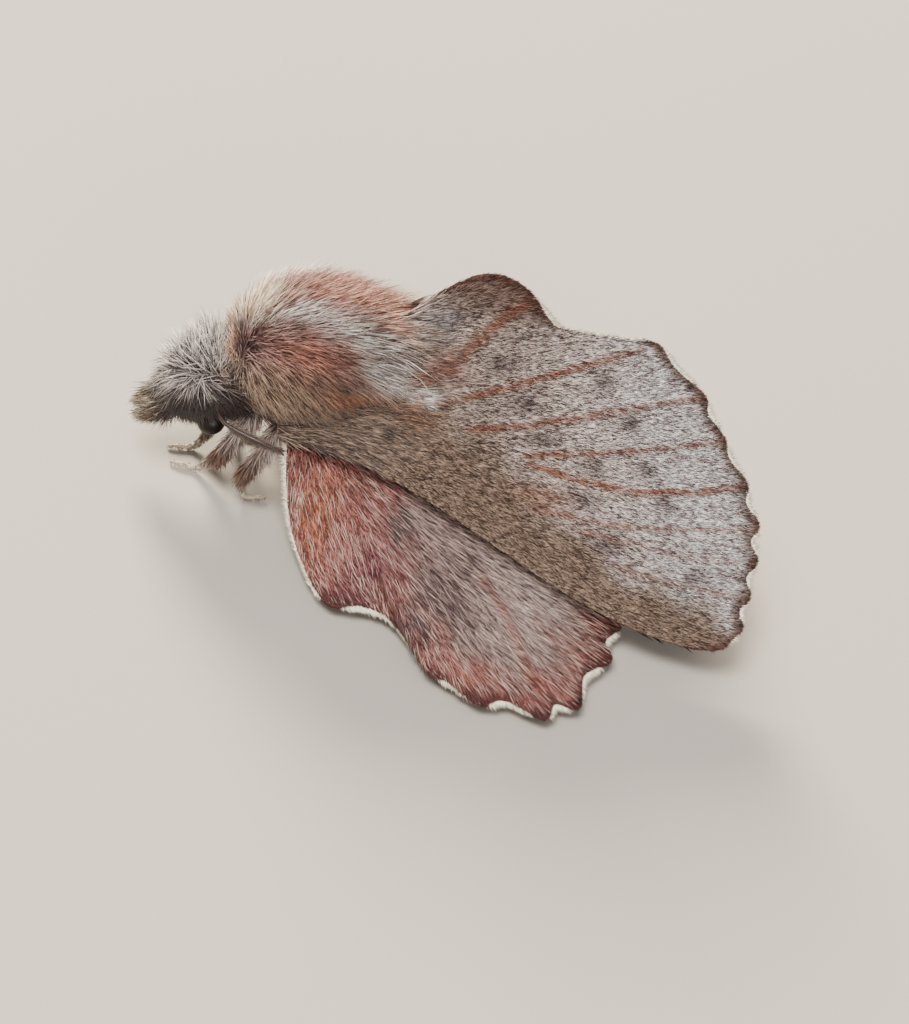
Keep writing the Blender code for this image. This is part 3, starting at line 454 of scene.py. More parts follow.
def soft_line(points, steps):
    """Points on a smooth curve through the given ones, with any number of columns."""
    points = np.asarray(points, dtype=float)
    ends = np.vstack([points[:1], points, points[-1:]])
    t = (np.arange(steps) / steps)[:, None]
    found = []
    for a, b, c, d in zip(ends, ends[1:], ends[2:], ends[3:]):
        found.append(0.5 * (2 * b + (c - a) * t + (2 * a - 5 * b + 4 * c - d) * t ** 2
                            + (3 * b - a - 3 * c + d) * t ** 3))
    return np.vstack(found + [points[-1:]])


def tube(name, line, radii):
    """A round rod along a line, from a curve with a bevel, turned into a mesh."""
    curve = bpy.data.curves.new(name, "CURVE")
    curve.dimensions = "3D"
    curve.bevel_depth = 1.0
    curve.bevel_resolution = 4
    curve.use_fill_caps = True
    spline = curve.splines.new("POLY")
    spline.points.add(len(line) - 1)
    for point, place, radius in zip(spline.points, line, radii):
        point.co = (*place, 1.0)
        point.radius = radius
    thing = bpy.data.objects.new(name, curve)
    bpy.context.collection.objects.link(thing)
    pick_only(thing)
    bpy.ops.object.convert(target="MESH")
    return bpy.context.object


def ball(name, centre, radii):
    """A smooth ball from a sphere primitive at its size and place."""
    bpy.ops.object.select_all(action="DESELECT")
    bpy.ops.mesh.primitive_uv_sphere_add(segments=64, ring_count=32, radius=1.0, location=centre, scale=radii)
    thing = bpy.context.object
    thing.name = name
    bpy.ops.object.transform_apply(location=True, rotation=True, scale=True)
    return thing


def both_sides(line):
    """The line mirrored for the left side, and as it is for the right."""
    return [[(x, -y, z) for x, y, z in line], list(line)]


rough = [ball("thorax", THORAX_CENTRE, THORAX_SKIN), ball("head", HEAD_CENTRE, HEAD_SKIN)]
smooth_abdomen = soft_line(ABDOMEN_LINE, 4)
rough.append(tube("abdomen", [(x, 0, z) for x, z, _ in smooth_abdomen], smooth_abdomen[:, 2]))
rough.append(tube("neck", [(-3.2, 0, 3.5), (-1.5, 0, 4.5)], [0.95, 1.5]))
for line in both_sides(PALP_LINE):
    rough.append(tube("palp", soft_line(line, 4), soft_line([[r] for r in PALP_RADII], 4).ravel()))
leg_paths = {}
for leg, line in LEG_LINES.items():
    for side, path in zip(("left", "right"), both_sides(line)):
        leg_paths[leg, side] = soft_line(path, 5)
        rough.append(tube("leg", leg_paths[leg, side], soft_line([[r] for r in LEG_RADII], 5).ravel()))
print("rough shapes:", len(rough))

# %% Weld them into one skin
pick_only(*rough)
bpy.ops.object.join()
skin = bpy.context.object
skin.name = "body_skin"
remesh = skin.modifiers.new("weld", "REMESH")
remesh.mode = "VOXEL"
remesh.voxel_size = 0.09
soften = skin.modifiers.new("soften", "SMOOTH")
soften.factor = 0.6
soften.iterations = 4
apply_all(skin)
bpy.ops.object.shade_smooth()
print("skin points:", len(skin.data.vertices))


# %% Which part of the body a place belongs to
THORAX, HEAD, ABDOMEN, PALPS, LEGS = range(5)
WELD_MARGIN = Vector((0.15, 0.15, 0.15))
NECK_X, WAIST_X = -1.6, 2.3
CLEAR_OF_BALL = 1.06  # times a ball's radii
LIMB_REACH = 0.6


def part_of(points):
    """The number of the body part that each place is on."""
    part = np.full(len(points), THORAX)
    head = np.linalg.norm((points - HEAD_CENTRE) / (HEAD_SKIN + WELD_MARGIN), axis=1)
    thorax = np.linalg.norm((points - THORAX_CENTRE) / (THORAX_SKIN + WELD_MARGIN), axis=1)
    part[(head < thorax) & (points[:, 0] < NECK_X)] = HEAD
    part[(points[:, 0] > WAIST_X) & (thorax > 1)] = ABDOMEN
    palp_paths = [soft_line(line, 6) for line in both_sides(PALP_LINE)]
    for number, lines in ((PALPS, palp_paths), (LEGS, list(leg_paths.values()))):
        for line in lines:
            near = np.min([np.linalg.norm(points - place, axis=1) for place in line], axis=0)
            outside = (thorax > CLEAR_OF_BALL) & (part != ABDOMEN)
            if number == PALPS:
                outside &= head > CLEAR_OF_BALL
            part[outside & (near < LIMB_REACH)] = number
    return part


def body_pair(points, part):
    """Pale and dark colours of the coat anywhere on the body."""
    pair = thorax_pair(points)
    palps = base_pair(len(points), "#6E5A4E", "#36261F")
    legs = base_pair(len(points), "#A08C80", "#4E3C36")
    paint(legs, 1 - step(points[:, 2], 0.25, 0.5), "#F4EAD6", "#C8B8A2")
    others = {HEAD: head_pair(points), ABDOMEN: abdomen_pair(points), PALPS: palps, LEGS: legs}
    for number, other in others.items():
        pair = [np.where((part == number)[:, None], b, a) for a, b in zip(pair, other)]
    return pair


def mesh_points(mesh):
    """The places of a mesh's points as an array."""
    found = np.empty(len(mesh.vertices) * 3)
    mesh.vertices.foreach_get("co", found)
    return found.reshape(-1, 3)


skin_points = mesh_points(skin.data)
pale, dark = body_pair(skin_points, part_of(skin_points))
colour_mesh(skin.data, 0.25 * pale + 0.6 * dark)
print("parts of the skin:", np.bincount(part_of(skin_points)))

# %% [markdown]
# ## Hairs and scales
#
# A hair is a bent, tapered, three-sided rod of nine faces, and a scale is a flat
# sliver of four. They are made thousands at a time from arrays, because that is quick
# and every one can have its own length, lie and colour. Each has a small patch on the
# baking map at its root's place, so that its colour can be baked to a texture.

# %% Growing hairs and scales
RINGS = np.array([0.0, 0.55])  # shares of a hair's length
TAPER = np.array([1.0, 0.85])
BAKE_PATCH = 0.003
FLOOR_CLEARANCE = 0.02


def unit(vectors):
    """Vectors of length one."""
    return vectors / np.maximum(np.linalg.norm(vectors, axis=1), 1e-9)[:, None]


def mesh_from(name, points, faces, colours, places):
    """A mesh from arrays of points and triangles, with markings and the baking map."""
    points[:, 2] = np.maximum(points[:, 2], FLOOR_CLEARANCE)
    mesh = bpy.data.meshes.new(name)
    mesh.vertices.add(len(points))
    mesh.vertices.foreach_set("co", points.astype(np.float32).ravel())
    mesh.loops.add(faces.size)
    mesh.loops.foreach_set("vertex_index", faces.astype(np.int32).ravel())
    mesh.polygons.add(len(faces))
    mesh.polygons.foreach_set("loop_start", np.arange(0, faces.size, 3, dtype=np.int32))
    mesh.polygons.foreach_set("use_smooth", np.ones(len(faces), dtype=bool))
    mesh.update(calc_edges=True)
    colour_mesh(mesh, colours)
    layer = mesh.uv_layers.new(name="OFBake")
    layer.uv.foreach_set("vector", places[faces.ravel()].astype(np.float32).ravel())
    thing = bpy.data.objects.new(name, mesh)
    bpy.context.collection.objects.link(thing)
    return thing


def hairs(name, root, normal, way, length, width, lift, droop, under, over, place, fade=1.2):
    """A coat of hairs; lift is the sine of the angle off the skin, droop how far each bends back."""
    count = len(root)
    side = unit(np.cross(way, normal))
    along = unit(way * np.sqrt(1 - lift ** 2)[:, None] + normal * lift[:, None])
    points, colours, places = [], [], []
    corners = [(side, 0.5), (-side, 0.5), (normal, 0.6)]
    for share, taper in zip(np.append(RINGS, 1.0), np.append(TAPER, 0.0)):
        middle = root + along * (length * share)[:, None] - normal * (length * droop * share ** 2)[:, None]
        tint = under + (over - under) * share ** fade
        if share == 1.0:
            corners = [(side, 0.0)]
        for number, (out, half) in enumerate(corners):
            points.append(middle + out * (width * taper * half)[:, None])
            colours.append(tint)
            places.append(place + BAKE_PATCH * np.array([0.5 * number, share]))
    per = len(points)
    points = np.stack(points, axis=1).reshape(-1, 3)
    colours = np.stack(colours, axis=1).reshape(-1, 3)
    places = np.stack(places, axis=1).reshape(-1, 2)
    shape = []
    for ring in range(len(RINGS)):
        for a, b in ((0, 1), (1, 2), (2, 0)):
            low_a, low_b = 3 * ring + a, 3 * ring + b
            if ring == len(RINGS) - 1:
                shape.append((low_b, low_a, per - 1))
            else:
                shape += [(low_b, low_a, low_a + 3), (low_b, low_a + 3, low_b + 3)]
    faces = (np.arange(count)[:, None, None] * per + np.array(shape)[None]).reshape(-1, 3)
    return mesh_from(name, points, faces, colours, places)


def slivers(name, root, normal, way, length, width, lift, under, over, place):
    """A coat of flat scales, four points and four faces each."""
    count = len(root)
    side = unit(np.cross(way, normal))
    along = unit(way + normal * lift[:, None])
    ridge = root + along * (0.4 * length)[:, None] + normal * (0.35 * width)[:, None]
    points = [root - side * (width / 2)[:, None], root + side * (width / 2)[:, None],
              ridge, root + along * length[:, None]]
    tints = [under, under, 0.5 * (under + over), over]
    corners = [(0.0, 0.0), (1.0, 0.0), (0.5, 0.5), (0.5, 1.0)]
    points = np.stack(points, axis=1).reshape(-1, 3)
    colours = np.stack(tints, axis=1).reshape(-1, 3)
    places = np.stack([place + BAKE_PATCH * np.array(corner) for corner in corners], axis=1).reshape(-1, 2)
    shape = np.array([(0, 1, 2), (1, 3, 2), (0, 2, 3), (0, 3, 1)])
    faces = (np.arange(count)[:, None, None] * 4 + shape[None]).reshape(-1, 3)
    return mesh_from(name, points, faces, colours, places)


ROOT_SHADE, TIP_SHADE, TIP_VARIES = 0.42, 1.2, 0.12  # times the colour of the place


def shades(pair, dice, spread=1.0, rare=1.0, mottle=0.0):
    """A colour for each hair between the pale and the dark of its place, at root and tip."""
    count = len(pair[0])
    mix = np.clip(0.5 + spread * (dice.random(count) - 0.5) + mottle, 0, 1)[:, None] ** rare
    tip = pair[1] + (pair[0] - pair[1]) * mix
    return tip * ROOT_SHADE, tip * (TIP_SHADE + TIP_VARIES * dice.normal(size=(count, 1)))


def clumped(root, way, length, size, share):
    """Bends the hairs of a neighbourhood towards one tip, as fur clings together."""
    cell = np.floor(root / size + 0.35 * cloud(root, size, 77)[:, None]).astype(int)
    _, index = np.unique(cell, axis=0, return_inverse=True)
    index = index.ravel()
    tips = root + way * length[:, None]
    total = np.bincount(index)
    middle = np.stack([np.bincount(index, tips[:, axis]) / total for axis in range(3)], axis=1)
    aim = unit(middle[index] - root)
    return unit(way * (1 - share) + aim * share)


# %% Sowing roots over the skin
def sow_on(thing, count, dice):
    """Random places on a mesh, even over its area, with the smooth normals there."""
    mesh = thing.data
    mesh.calc_loop_triangles()
    points = mesh_points(mesh)
    normals = np.empty(len(points) * 3)
    mesh.vertex_normals.foreach_get("vector", normals)
    normals = normals.reshape(-1, 3)
    corners = np.empty(len(mesh.loop_triangles) * 3, dtype=np.int32)
    mesh.loop_triangles.foreach_get("vertices", corners)
    corners = corners.reshape(-1, 3)
    a, b, c = (points[corners[:, i]] for i in range(3))
    area = np.linalg.norm(np.cross(b - a, c - a), axis=1)
    pick = dice.choice(len(corners), count, p=area / area.sum())
    u, v = dice.random(count), dice.random(count)
    flip = u + v > 1
    u[flip], v[flip] = 1 - u[flip], 1 - v[flip]
    weights = np.stack([1 - u - v, u, v], axis=1)
    where = sum(points[corners[pick, i]] * weights[:, i:i + 1] for i in range(3))
    facing = sum(normals[corners[pick, i]] * weights[:, i:i + 1] for i in range(3))
    return where, unit(facing)


def along_skin(way, normal):
    """The part of a direction that lies in the skin."""
    return unit(way - normal * (way * normal).sum(axis=1)[:, None])


ROOTS_SOWN = 110000
dice = np.random.default_rng(5)
sown, sown_normals = sow_on(skin, ROOTS_SOWN, dice)
sown_part = part_of(sown)
print("roots sown on thorax, head, abdomen, palps, legs:", np.bincount(sown_part))

# %% [markdown]
# ## The coat of the thorax
#
# The thorax fur lies back along the body, a little down on the sides, and stands
# forward as a ruff at the collar. It is longest at the back, where it sweeps over the
# roots of the wings, so its length and lift grow with the place.

# %% Thorax fur
THORAX_HAIRS = 32000


def take(part, most):
    """Roots on one part of the body, at most this many."""
    index = np.flatnonzero(sown_part == part)[:most]
    return sown[index], sown_normals[index]


def thorax_fur(root, normal):
    """The lie, length and lift of the thorax's hair at each root."""
    shape = (root - THORAX_CENTRE) / np.array(THORAX_SKIN)
    turn = np.degrees(np.arctan2(np.abs(shape[:, 1]), shape[:, 2]))
    ruff = step(-shape[:, 0], 0.85, 0.95)
    back = step(shape[:, 0], 0.2, 0.75)
    aim = np.stack([1.0 - 1.7 * ruff, 0.15 * np.sign(root[:, 1]) * back,
                    0.8 * ruff + 0.35 * step(-shape[:, 0], 0.4, 0.8) - 0.45 * step(turn, 35, 80)], axis=1)
    aim += 0.24 * dice.normal(size=aim.shape)
    top = 1 - step(turn, 25, 65)
    crest = top * step(shape[:, 0], -0.3, 0.25)
    tegula = spot(shape[:, 0], turn, (0.5, 68), (0.35, 11))
    low = step(turn, 70, 95) * step(shape[:, 0], -0.2, 0.5)
    length = 1.05 + 0.7 * back + 0.15 * top + 0.55 * top * back + 0.75 * tegula - 0.25 * ruff - 0.3 * low
    lift = 0.4 + 0.16 * top + 0.16 * crest + 0.3 * ruff - 0.2 * low
    return along_skin(aim, normal), length, lift


def unwrap(points, centre, radii):
    """A place from 0 to 1 on the map of a ball, by its turn and its share along."""
    way = unit((points - centre) / radii)
    turn = np.arctan2(way[:, 1], way[:, 2]) / (2 * math.pi) + 0.5
    return 0.02 + 0.95 * np.stack([turn, np.arccos(np.clip(way[:, 0], -1, 1)) / math.pi], axis=1)


def thorax_coat():
    """Grows the thorax's hair, each with the colour of the place where its outer part lies."""
    root, normal = take(THORAX, THORAX_HAIRS)
    way, length, lift = thorax_fur(root, normal)
    count = len(root)
    length = length * dice.uniform(0.7, 1.15, count)
    lift = np.clip(lift * dice.uniform(0.7, 1.2, count), 0.1, 0.85)
    way = along_skin(clumped(root, way, length, size=0.3, share=0.2), normal)
    lean = way * np.sqrt(1 - lift ** 2)[:, None] + normal * lift[:, None]
    seen = root + lean * (0.75 * length)[:, None]
    streaky = 0.35 * cloud(root * [0.3, 1, 1], 0.09, 41)
    under, over = shades(thorax_pair(seen), dice, 2.1, mottle=streaky)
    width = dice.uniform(0.022, 0.042, count)
    for number, half in enumerate(np.array_split(np.arange(count), 2)):
        coat = hairs(f"thorax_fur_{number + 1}", root[half], normal[half], way[half], length[half],
                     width[half], lift[half], np.full(len(half), 0.12), under[half], over[half],
                     unwrap(root[half], THORAX_CENTRE, np.array(THORAX_SKIN)))
        settle(coat, HAIR, "body_fur")


thorax_coat()

# %% [markdown]
# ## The coat of the head, palps, legs and abdomen
#
# The hair of the head fans out from the crown, forward over the face and down the
# cheeks. The palps are brushes with pale tips, the legs have short pale fringes, and
# the abdomen is hidden under the wings but furred all the same.

# %% Head, palp, leg and abdomen fur
CROWN = np.array([-4.15, 0.6, 4.3])  # the right one, where the hair parts
EYE_PLACE = np.array([-3.0, 0.9, 2.5])  # the right one's middle
EYE_RADIUS = 0.5
BARE_RADIUS = 0.62  # no hair grows this close to the middle of an eye


def coat_of(name, part, most, lie, length, lift, width, pair, slot, wrap, scatter=0.25, fade=1.2):
    """Grows the coat of one part; lie, length, lift, pair and wrap are functions of the roots."""
    root, normal = take(part, most)
    eye = EYE_PLACE * np.where(root[:, 1:2] < 0, [1, -1, 1], 1)
    bare = np.linalg.norm(root - eye, axis=1) < BARE_RADIUS
    root, normal = root[~bare], normal[~bare]
    count = len(root)
    way = along_skin(lie(root, normal) + scatter * dice.normal(size=root.shape), normal)
    lengths = length(root) * dice.uniform(0.65, 1.15, count)
    lifts = np.clip(lift(root) * dice.uniform(0.6, 1.3, count), 0.05, 0.95)
    way = along_skin(clumped(root, way, lengths, size=0.3, share=0.3), normal)
    under, over = pair(root, way, normal)
    coat = hairs(name, root, normal, way, lengths, width * dice.uniform(0.8, 1.2, count), lifts,
                 np.full(count, 0.1), under, over, wrap(root), fade)
    settle(coat, HAIR, slot)


def mane(root):
    """1 on the top of the head between the crowns and on its nape, where the hair stands up."""
    between = 1 - step(np.abs(root[:, 1]), 0.35, 0.85)
    nape = step(root[:, 0], -3.9, -3.3) * (1 - step(np.abs(root[:, 1]), 0.7, 1.2))
    return np.maximum(between, nape) * step(root[:, 2], 3.9, 4.25)


def head_lie(root, normal):
    """Out from a crown on each side, forward and down on the face, and up in the mane."""
    away = root - CROWN * np.where(root[:, 1:2] < 0, [1, -1, 1], 1)
    whorl = np.clip(np.linalg.norm(away, axis=1) / 0.8, 0, 1)[:, None]
    spread = unit(away) * whorl + np.array([-0.5, 0.0, -0.2]) * (1 - whorl)
    spread += 0.5 * dice.normal(size=root.shape) * (1 - whorl)
    face = step(-root[:, 0], 4.1, 4.6)[:, None]
    up = mane(root)[:, None]
    spread = spread * (1 - 0.5 * face) - np.array([0.4, 0.0, 0.5]) * face
    return spread * (1 - up) + np.array([-0.45, 0.0, 1.0]) * up


def head_length(root):
    """Short over the face and round the eyes, longer behind, and longest in the mane."""
    eye = np.linalg.norm(root * [1, 0, 1] + np.abs(root) * [0, 1, 0] - EYE_PLACE, axis=1)
    face = step(-root[:, 0], 4.2, 4.7) * step(-root[:, 2], -3.9, -3.2)
    length = 0.9 + 0.25 * step(root[:, 0], -4.2, -3.2) + 0.35 * face + 0.45 * mane(root)
    return length * (0.65 + 0.35 * step(eye, 0.7, 1.4))


def head_lift(root):
    """How far the head's hair stands off."""
    return 0.4 + 0.5 * mane(root)


def head_shades(root, way, normal):
    """The colours of the head's hair, for the place where it leans to."""
    return shades(head_pair(root + normal * 0.3 + way * 0.3), dice, 1.9, mottle=0.35 * cloud(root, 0.1, 42))


coat_of("head_fur", HEAD, 12000, head_lie, head_length, head_lift, 0.03,
        head_shades, "head_fur", lambda root: unwrap(root, HEAD_CENTRE, HEAD_FUR), scatter=0.36)


def palp_lie(root, normal):
    """Forward and down, and off the palp all round."""
    return np.tile([-1.0, 0.0, -0.45], (len(root), 1)) + 0.5 * normal


def palp_shades(root, way, normal):
    """Brown hair with cream ends, more of them near the tip of the palp."""
    under, over = shades(body_pair(root, np.full(len(root), PALPS)), dice)
    cream = dice.random((len(root), 1)) < 0.3 + 0.55 * step(-root[:, :1], 4.7, 5.2)
    cream = cream * dice.uniform(0.6, 1.1, (len(root), 1))
    return under, over * (1 - cream) + linear("#F8EAC8") * cream


coat_of("palp_fur", PALPS, 2600, palp_lie, lambda root: np.full(len(root), 0.62),
        lambda root: np.full(len(root), 0.5), 0.04, palp_shades, "head_fur",
        lambda root: unwrap(root, np.array([-4.7, 0, 2.3]), HEAD_FUR), fade=2.5)


def leg_lie(root, normal):
    """Down, along the leg."""
    return np.tile([0.15, 0.0, -1.0], (len(root), 1))


def leg_shades(root, way, normal):
    """Pale feet, brown shins and grey thighs."""
    pair = base_pair(len(root), "#EFE6D6", "#9A8878")
    paint(pair, step(root[:, 2], 0.5, 1.3), "#8E6C5A", "#3E2A24")
    paint(pair, step(root[:, 2], 1.6, 2.6), "#D8CCC4", "#6E5A54")
    return shades(pair, dice)


coat_of("leg_fur", LEGS, 5500, leg_lie, lambda root: 0.16 + 0.5 * step(root[:, 2], 0.4, 1.5),
        lambda root: np.full(len(root), 0.3), 0.03,
        leg_shades, "leg_fur", lambda root: unwrap(root, THORAX_CENTRE, np.array([4.0, 2.0, 5.0])))


def abdomen_lie(root, normal):
    """Back and a little down."""
    return np.tile([1.0, 0.0, -0.35], (len(root), 1))


def abdomen_shades(root, way, normal):
    """The colours of the abdomen's hair at its roots."""
    return shades(abdomen_pair(root), dice)


coat_of("abdomen_fur", ABDOMEN, 5000, abdomen_lie, lambda root: 0.95 + 0.5 * step(root[:, 0], 8, 10),
        lambda root: np.full(len(root), 0.25), 0.06, abdomen_shades, "body_fur",
        lambda root: unwrap(root, np.array([6.5, 0, 2.6]), np.array([4.0, 1.4, 1.4])))
settle(skin, SKIN, "body_fur", "thorax", "head", "abdomen", "palp_left", "palp_right", "foreleg_left",
       "foreleg_right", "midleg_left", "midleg_right", "hindleg_left", "hindleg_right")

# %% [markdown]
# ## Eyes
#
# A moth's eye is a ball of hundreds of lenses. The facets are too fine to model, so
# a smooth ball carries them as a bump in its material.

# %% Eyes
for side, sign in (("left", -1), ("right", 1)):
    place = EYE_PLACE * [1, sign, 1]
    eye = ball(f"eye_{side}_cornea", tuple(place), (EYE_RADIUS,) * 3)
    bpy.ops.object.shade_smooth()
    settle(eye, EYE, "eye", f"eye_{side}")

# %% [markdown]
# ## Feelers
#
# A male's feeler is a feather: a shaft with two rows of fine teeth. The shaft is
# a thin rod, and the teeth are the same tapered rods as the hairs, set in even rows.

# %% Feelers
FEELER_LINE = [
    (-3.05, 1.25, 3.3), (-2.75, 1.95, 3.25), (-2.1, 2.5, 3.3), (-1.5, 2.8, 3.3), (-0.85, 2.95, 3.2),
]
FEELER_RADII = [0.08, 0.08, 0.07, 0.06, 0.03]
TEETH = 20  # in each of the two rows
TOOTH_LENGTH = 0.6
TOOTH_WIDTH = 0.06
UPPER_ROW, LOWER_ROW = (0.7, 0.35, 0.4), (0.6, 0.4, -0.45)  # the way the teeth of the right feeler point


def feeler(side, sign):
    """The shaft and the two rows of teeth of one feeler."""
    line = soft_line([(x, sign * y, z) for x, y, z in FEELER_LINE], 12)
    shaft = tube(f"feeler_{side}", line, soft_line([[r] for r in FEELER_RADII], 12).ravel())
    colour_mesh(shaft.data, np.tile(linear("#2A1C18"), (len(shaft.data.vertices), 1)))
    bpy.ops.object.shade_smooth()
    settle(shaft, HORN, "antenna", f"antenna_{side}")
    at = np.linspace(0.2, 0.98, TEETH) * (len(line) - 1)
    places = np.stack([np.interp(at, np.arange(len(line)), line[:, axis]) for axis in range(3)], axis=1)
    ahead = np.stack([np.interp(at + 0.5, np.arange(len(line)), line[:, axis]) for axis in range(3)], axis=1)
    run = unit(ahead - places)
    both = 2 * TEETH
    rows = np.repeat([UPPER_ROW, LOWER_ROW], TEETH, axis=0) * [1, sign, 1]
    way = unit(rows + 0.1 * np.vstack([run, run]))
    normal = along_skin(np.tile([0.0, float(sign), 0.3], (both, 1)), way)
    share = np.tile(at / at[-1], 2)
    size = TOOTH_LENGTH * np.interp(share, [0.2, 0.5, 1.0], [0.85, 1.0, 0.45])
    under = np.tile(linear("#241614"), (both, 1))
    over = np.tile(linear("#7A685C"), (both, 1)) * dice.uniform(0.5, 1.1, (both, 1))
    wrap = 0.1 + 0.8 * np.stack([share, np.repeat([0.2, 0.7], TEETH)], axis=1)
    teeth = hairs(f"feeler_{side}_teeth", np.vstack([places, places]), normal, way, size,
                  np.full(both, TOOTH_WIDTH), np.zeros(both), np.full(both, 0.1), under, over, wrap, fade=1.6)
    settle(teeth, HORN, "antenna")


feeler("left", -1)
feeler("right", 1)

# %% [markdown]
# ## The shape of the wings
#
# Each wing is drawn as columns from its root to its margin. Between the ends of the
# veins the margin curves in, and a smooth curve through these points gives
# the scallops. A grid primitive is laid over the columns, bent to the roof or
# the fan, and given its thickness with Solidify.

# %% Where a point of a wing's pattern lies
RIDGE_HEIGHT = 8.4
RIDGE_HALF_GAP = 0.42
ROOF_ARCH = 0.2
ROOF_DEPTH = 10.0
COSTA_BASE = np.array([-0.8, 2.7, 3.4])
COSTA_APEX = np.array([15.3, 7.5, 1.42])
RIGHT_DROP, RIGHT_FADE = 1.0, 6.2  # the right forewing is this much lower at the ridge, fading this far down
RIGHT_SHIFT, RIGHT_NEARER = 0.9, 0.3  # further forward, and nearer the ridge
RIGHT_LOBE = 0.6  # of the left one's lobe above the ridge line
HIND_ROOT_HEIGHT = 2.75
HIND_MARGIN_HEIGHT = 0.42
HIND_FRONT_FALL, HIND_BACK_FALL = 3.0, 0.9  # how soon the hindwing falls from its root to the floor
HIND_FALL_FROM, HIND_FALL_OVER = -0.05, 0.45  # radians round the hub, where the one becomes the other
HIND_HUB = (0.975, 1.8)


def left_roof(x, down):
    """The left forewing's place for x along the body and a distance down from the ridge."""
    share = (x - COSTA_BASE[0]) / (COSTA_APEX[0] - COSTA_BASE[0])
    edge = COSTA_BASE + share[..., None] * (COSTA_APEX - COSTA_BASE)
    angle = np.arctan2(RIDGE_HEIGHT - edge[..., 2], edge[..., 1] - RIDGE_HALF_GAP) + ROOF_ARCH
    turn = 2 * ROOF_ARCH / ROOF_DEPTH
    over = np.maximum(down, 0)
    out = (np.sin(angle) - np.sin(angle - turn * over)) / turn
    fall = (np.cos(angle - turn * over) - np.cos(angle)) / turn + np.minimum(down, 0)
    return np.stack([x, -RIDGE_HALF_GAP - out, RIDGE_HEIGHT - fall], axis=-1)


def right_roof(x, down):
    """The right forewing, which tucks in under the left one along the ridge."""
    place = left_roof(x, np.where(down < 0, down * RIGHT_LOBE, down))
    share = 1 - np.clip(down / RIGHT_FADE, 0, 1)
    tuck = np.stack([0 * x + RIGHT_SHIFT, RIGHT_NEARER * share, RIGHT_DROP * share], axis=-1)
    return place * [1, -1, 1] - tuck


# %% [markdown]
# The forewing's columns are listed from the front edge round to the ridge: where each
# meets the root and the margin, and how white the fringe is there.

# %% Columns of the wings
# root x, root down, margin x, margin down, white
FORE_COLUMNS = [
    (-0.95, 5.5, 14.0, 10.32, 0.0), (-0.98, 5.3, 15.0, 10.2, 0.0), (-1.0, 5.2, 15.5, 9.8, 0.5),
    (-1.0, 5.1, 15.75, 9.35, 0.0), (-1.0, 5.0, 15.76, 8.81, 0.9), (-1.0, 4.9, 15.97, 8.2, 0.0),
    (-0.95, 4.8, 15.95, 7.55, 1.0), (-0.9, 4.7, 16.15, 6.9, 0.0), (-0.85, 4.6, 16.02, 6.25, 1.0),
    (-0.8, 4.5, 16.1, 5.6, 0.0), (-0.6, 4.3, 15.72, 4.93, 1.0), (-0.4, 4.1, 15.5, 4.2, 0.0),
    (0.0, 3.8, 14.92, 3.46, 1.0), (0.4, 3.5, 14.45, 2.75, 0.0), (0.8, 3.2, 13.92, 2.04, 1.0),
    (1.2, 2.8, 13.5, 1.42, 0.0), (1.6, 2.3, 12.47, 0.66, 1.0), (1.9, 1.8, 11.4, -0.1, 0.1),
    (2.1, 1.3, 10.2, -0.05, 0.9), (2.2, 0.9, 8.9, -0.03, 1.0), (2.25, 0.6, 7.8, -0.15, 0.9),
    (2.5, 0.35, 6.45, -1.25, 0.15), (2.7, 0.2, 5.3, -1.7, 0.0), (2.8, 0.1, 4.4, -1.5, 0.0),
    (2.85, 0.05, 3.8, -0.98, 0.0), (2.87, 0.0, 3.25, -0.46, 0.0),
]
# root x, root out, margin x, margin out, white
HIND_COLUMNS = [
    (-0.45, 1.8, 0.7, 6.6, 0.9), (0.0, 1.8, 1.25, 7.35, 0.0), (0.3, 1.8, 2.45, 7.33, 1.0),
    (0.5, 1.85, 3.3, 7.65, 0.7), (0.65, 1.85, 3.8, 8.5, 0.45), (0.8, 1.9, 4.4, 10.05, 0.1),
    (0.9, 1.95, 5.15, 10.52, 0.7), (1.0, 1.95, 6.0, 11.25, 0.0), (1.2, 1.95, 7.0, 11.02, 1.0),
    (1.4, 2.0, 8.2, 11.52, 0.0), (1.6, 2.0, 8.8, 10.85, 1.0), (1.8, 2.0, 9.55, 10.72, 0.0),
    (1.9, 2.05, 10.12, 9.2, 1.0), (2.0, 2.05, 11.15, 8.1, 0.0), (2.1, 2.05, 11.25, 7.2, 1.0),
    (2.2, 2.1, 11.9, 6.1, 0.1), (2.3, 2.1, 11.4, 5.0, 0.9), (2.4, 2.1, 11.3, 4.0, 0.1),
    (2.4, 2.1, 9.0, 2.5, 0.5),
]
FINE = 9  # grid columns between two listed ones
ROWS = 88
FRINGE = 0.08  # the margin of the membrane lies this far inside the tips of the fringe,
BAY_INSET = 0.1  # and this much more in the bays, where the fringe is white
COSTA_DIP = -0.85  # the front edge bends this much towards the ridge near its root,
COSTA_ARCH = 0.5  # and this much away from it near the apex
BOW_PEAK = 6.75  # scales each of the two bends to its full size where it is greatest
BOW_FADES_OVER = 18  # listed columns, counted from the front edge


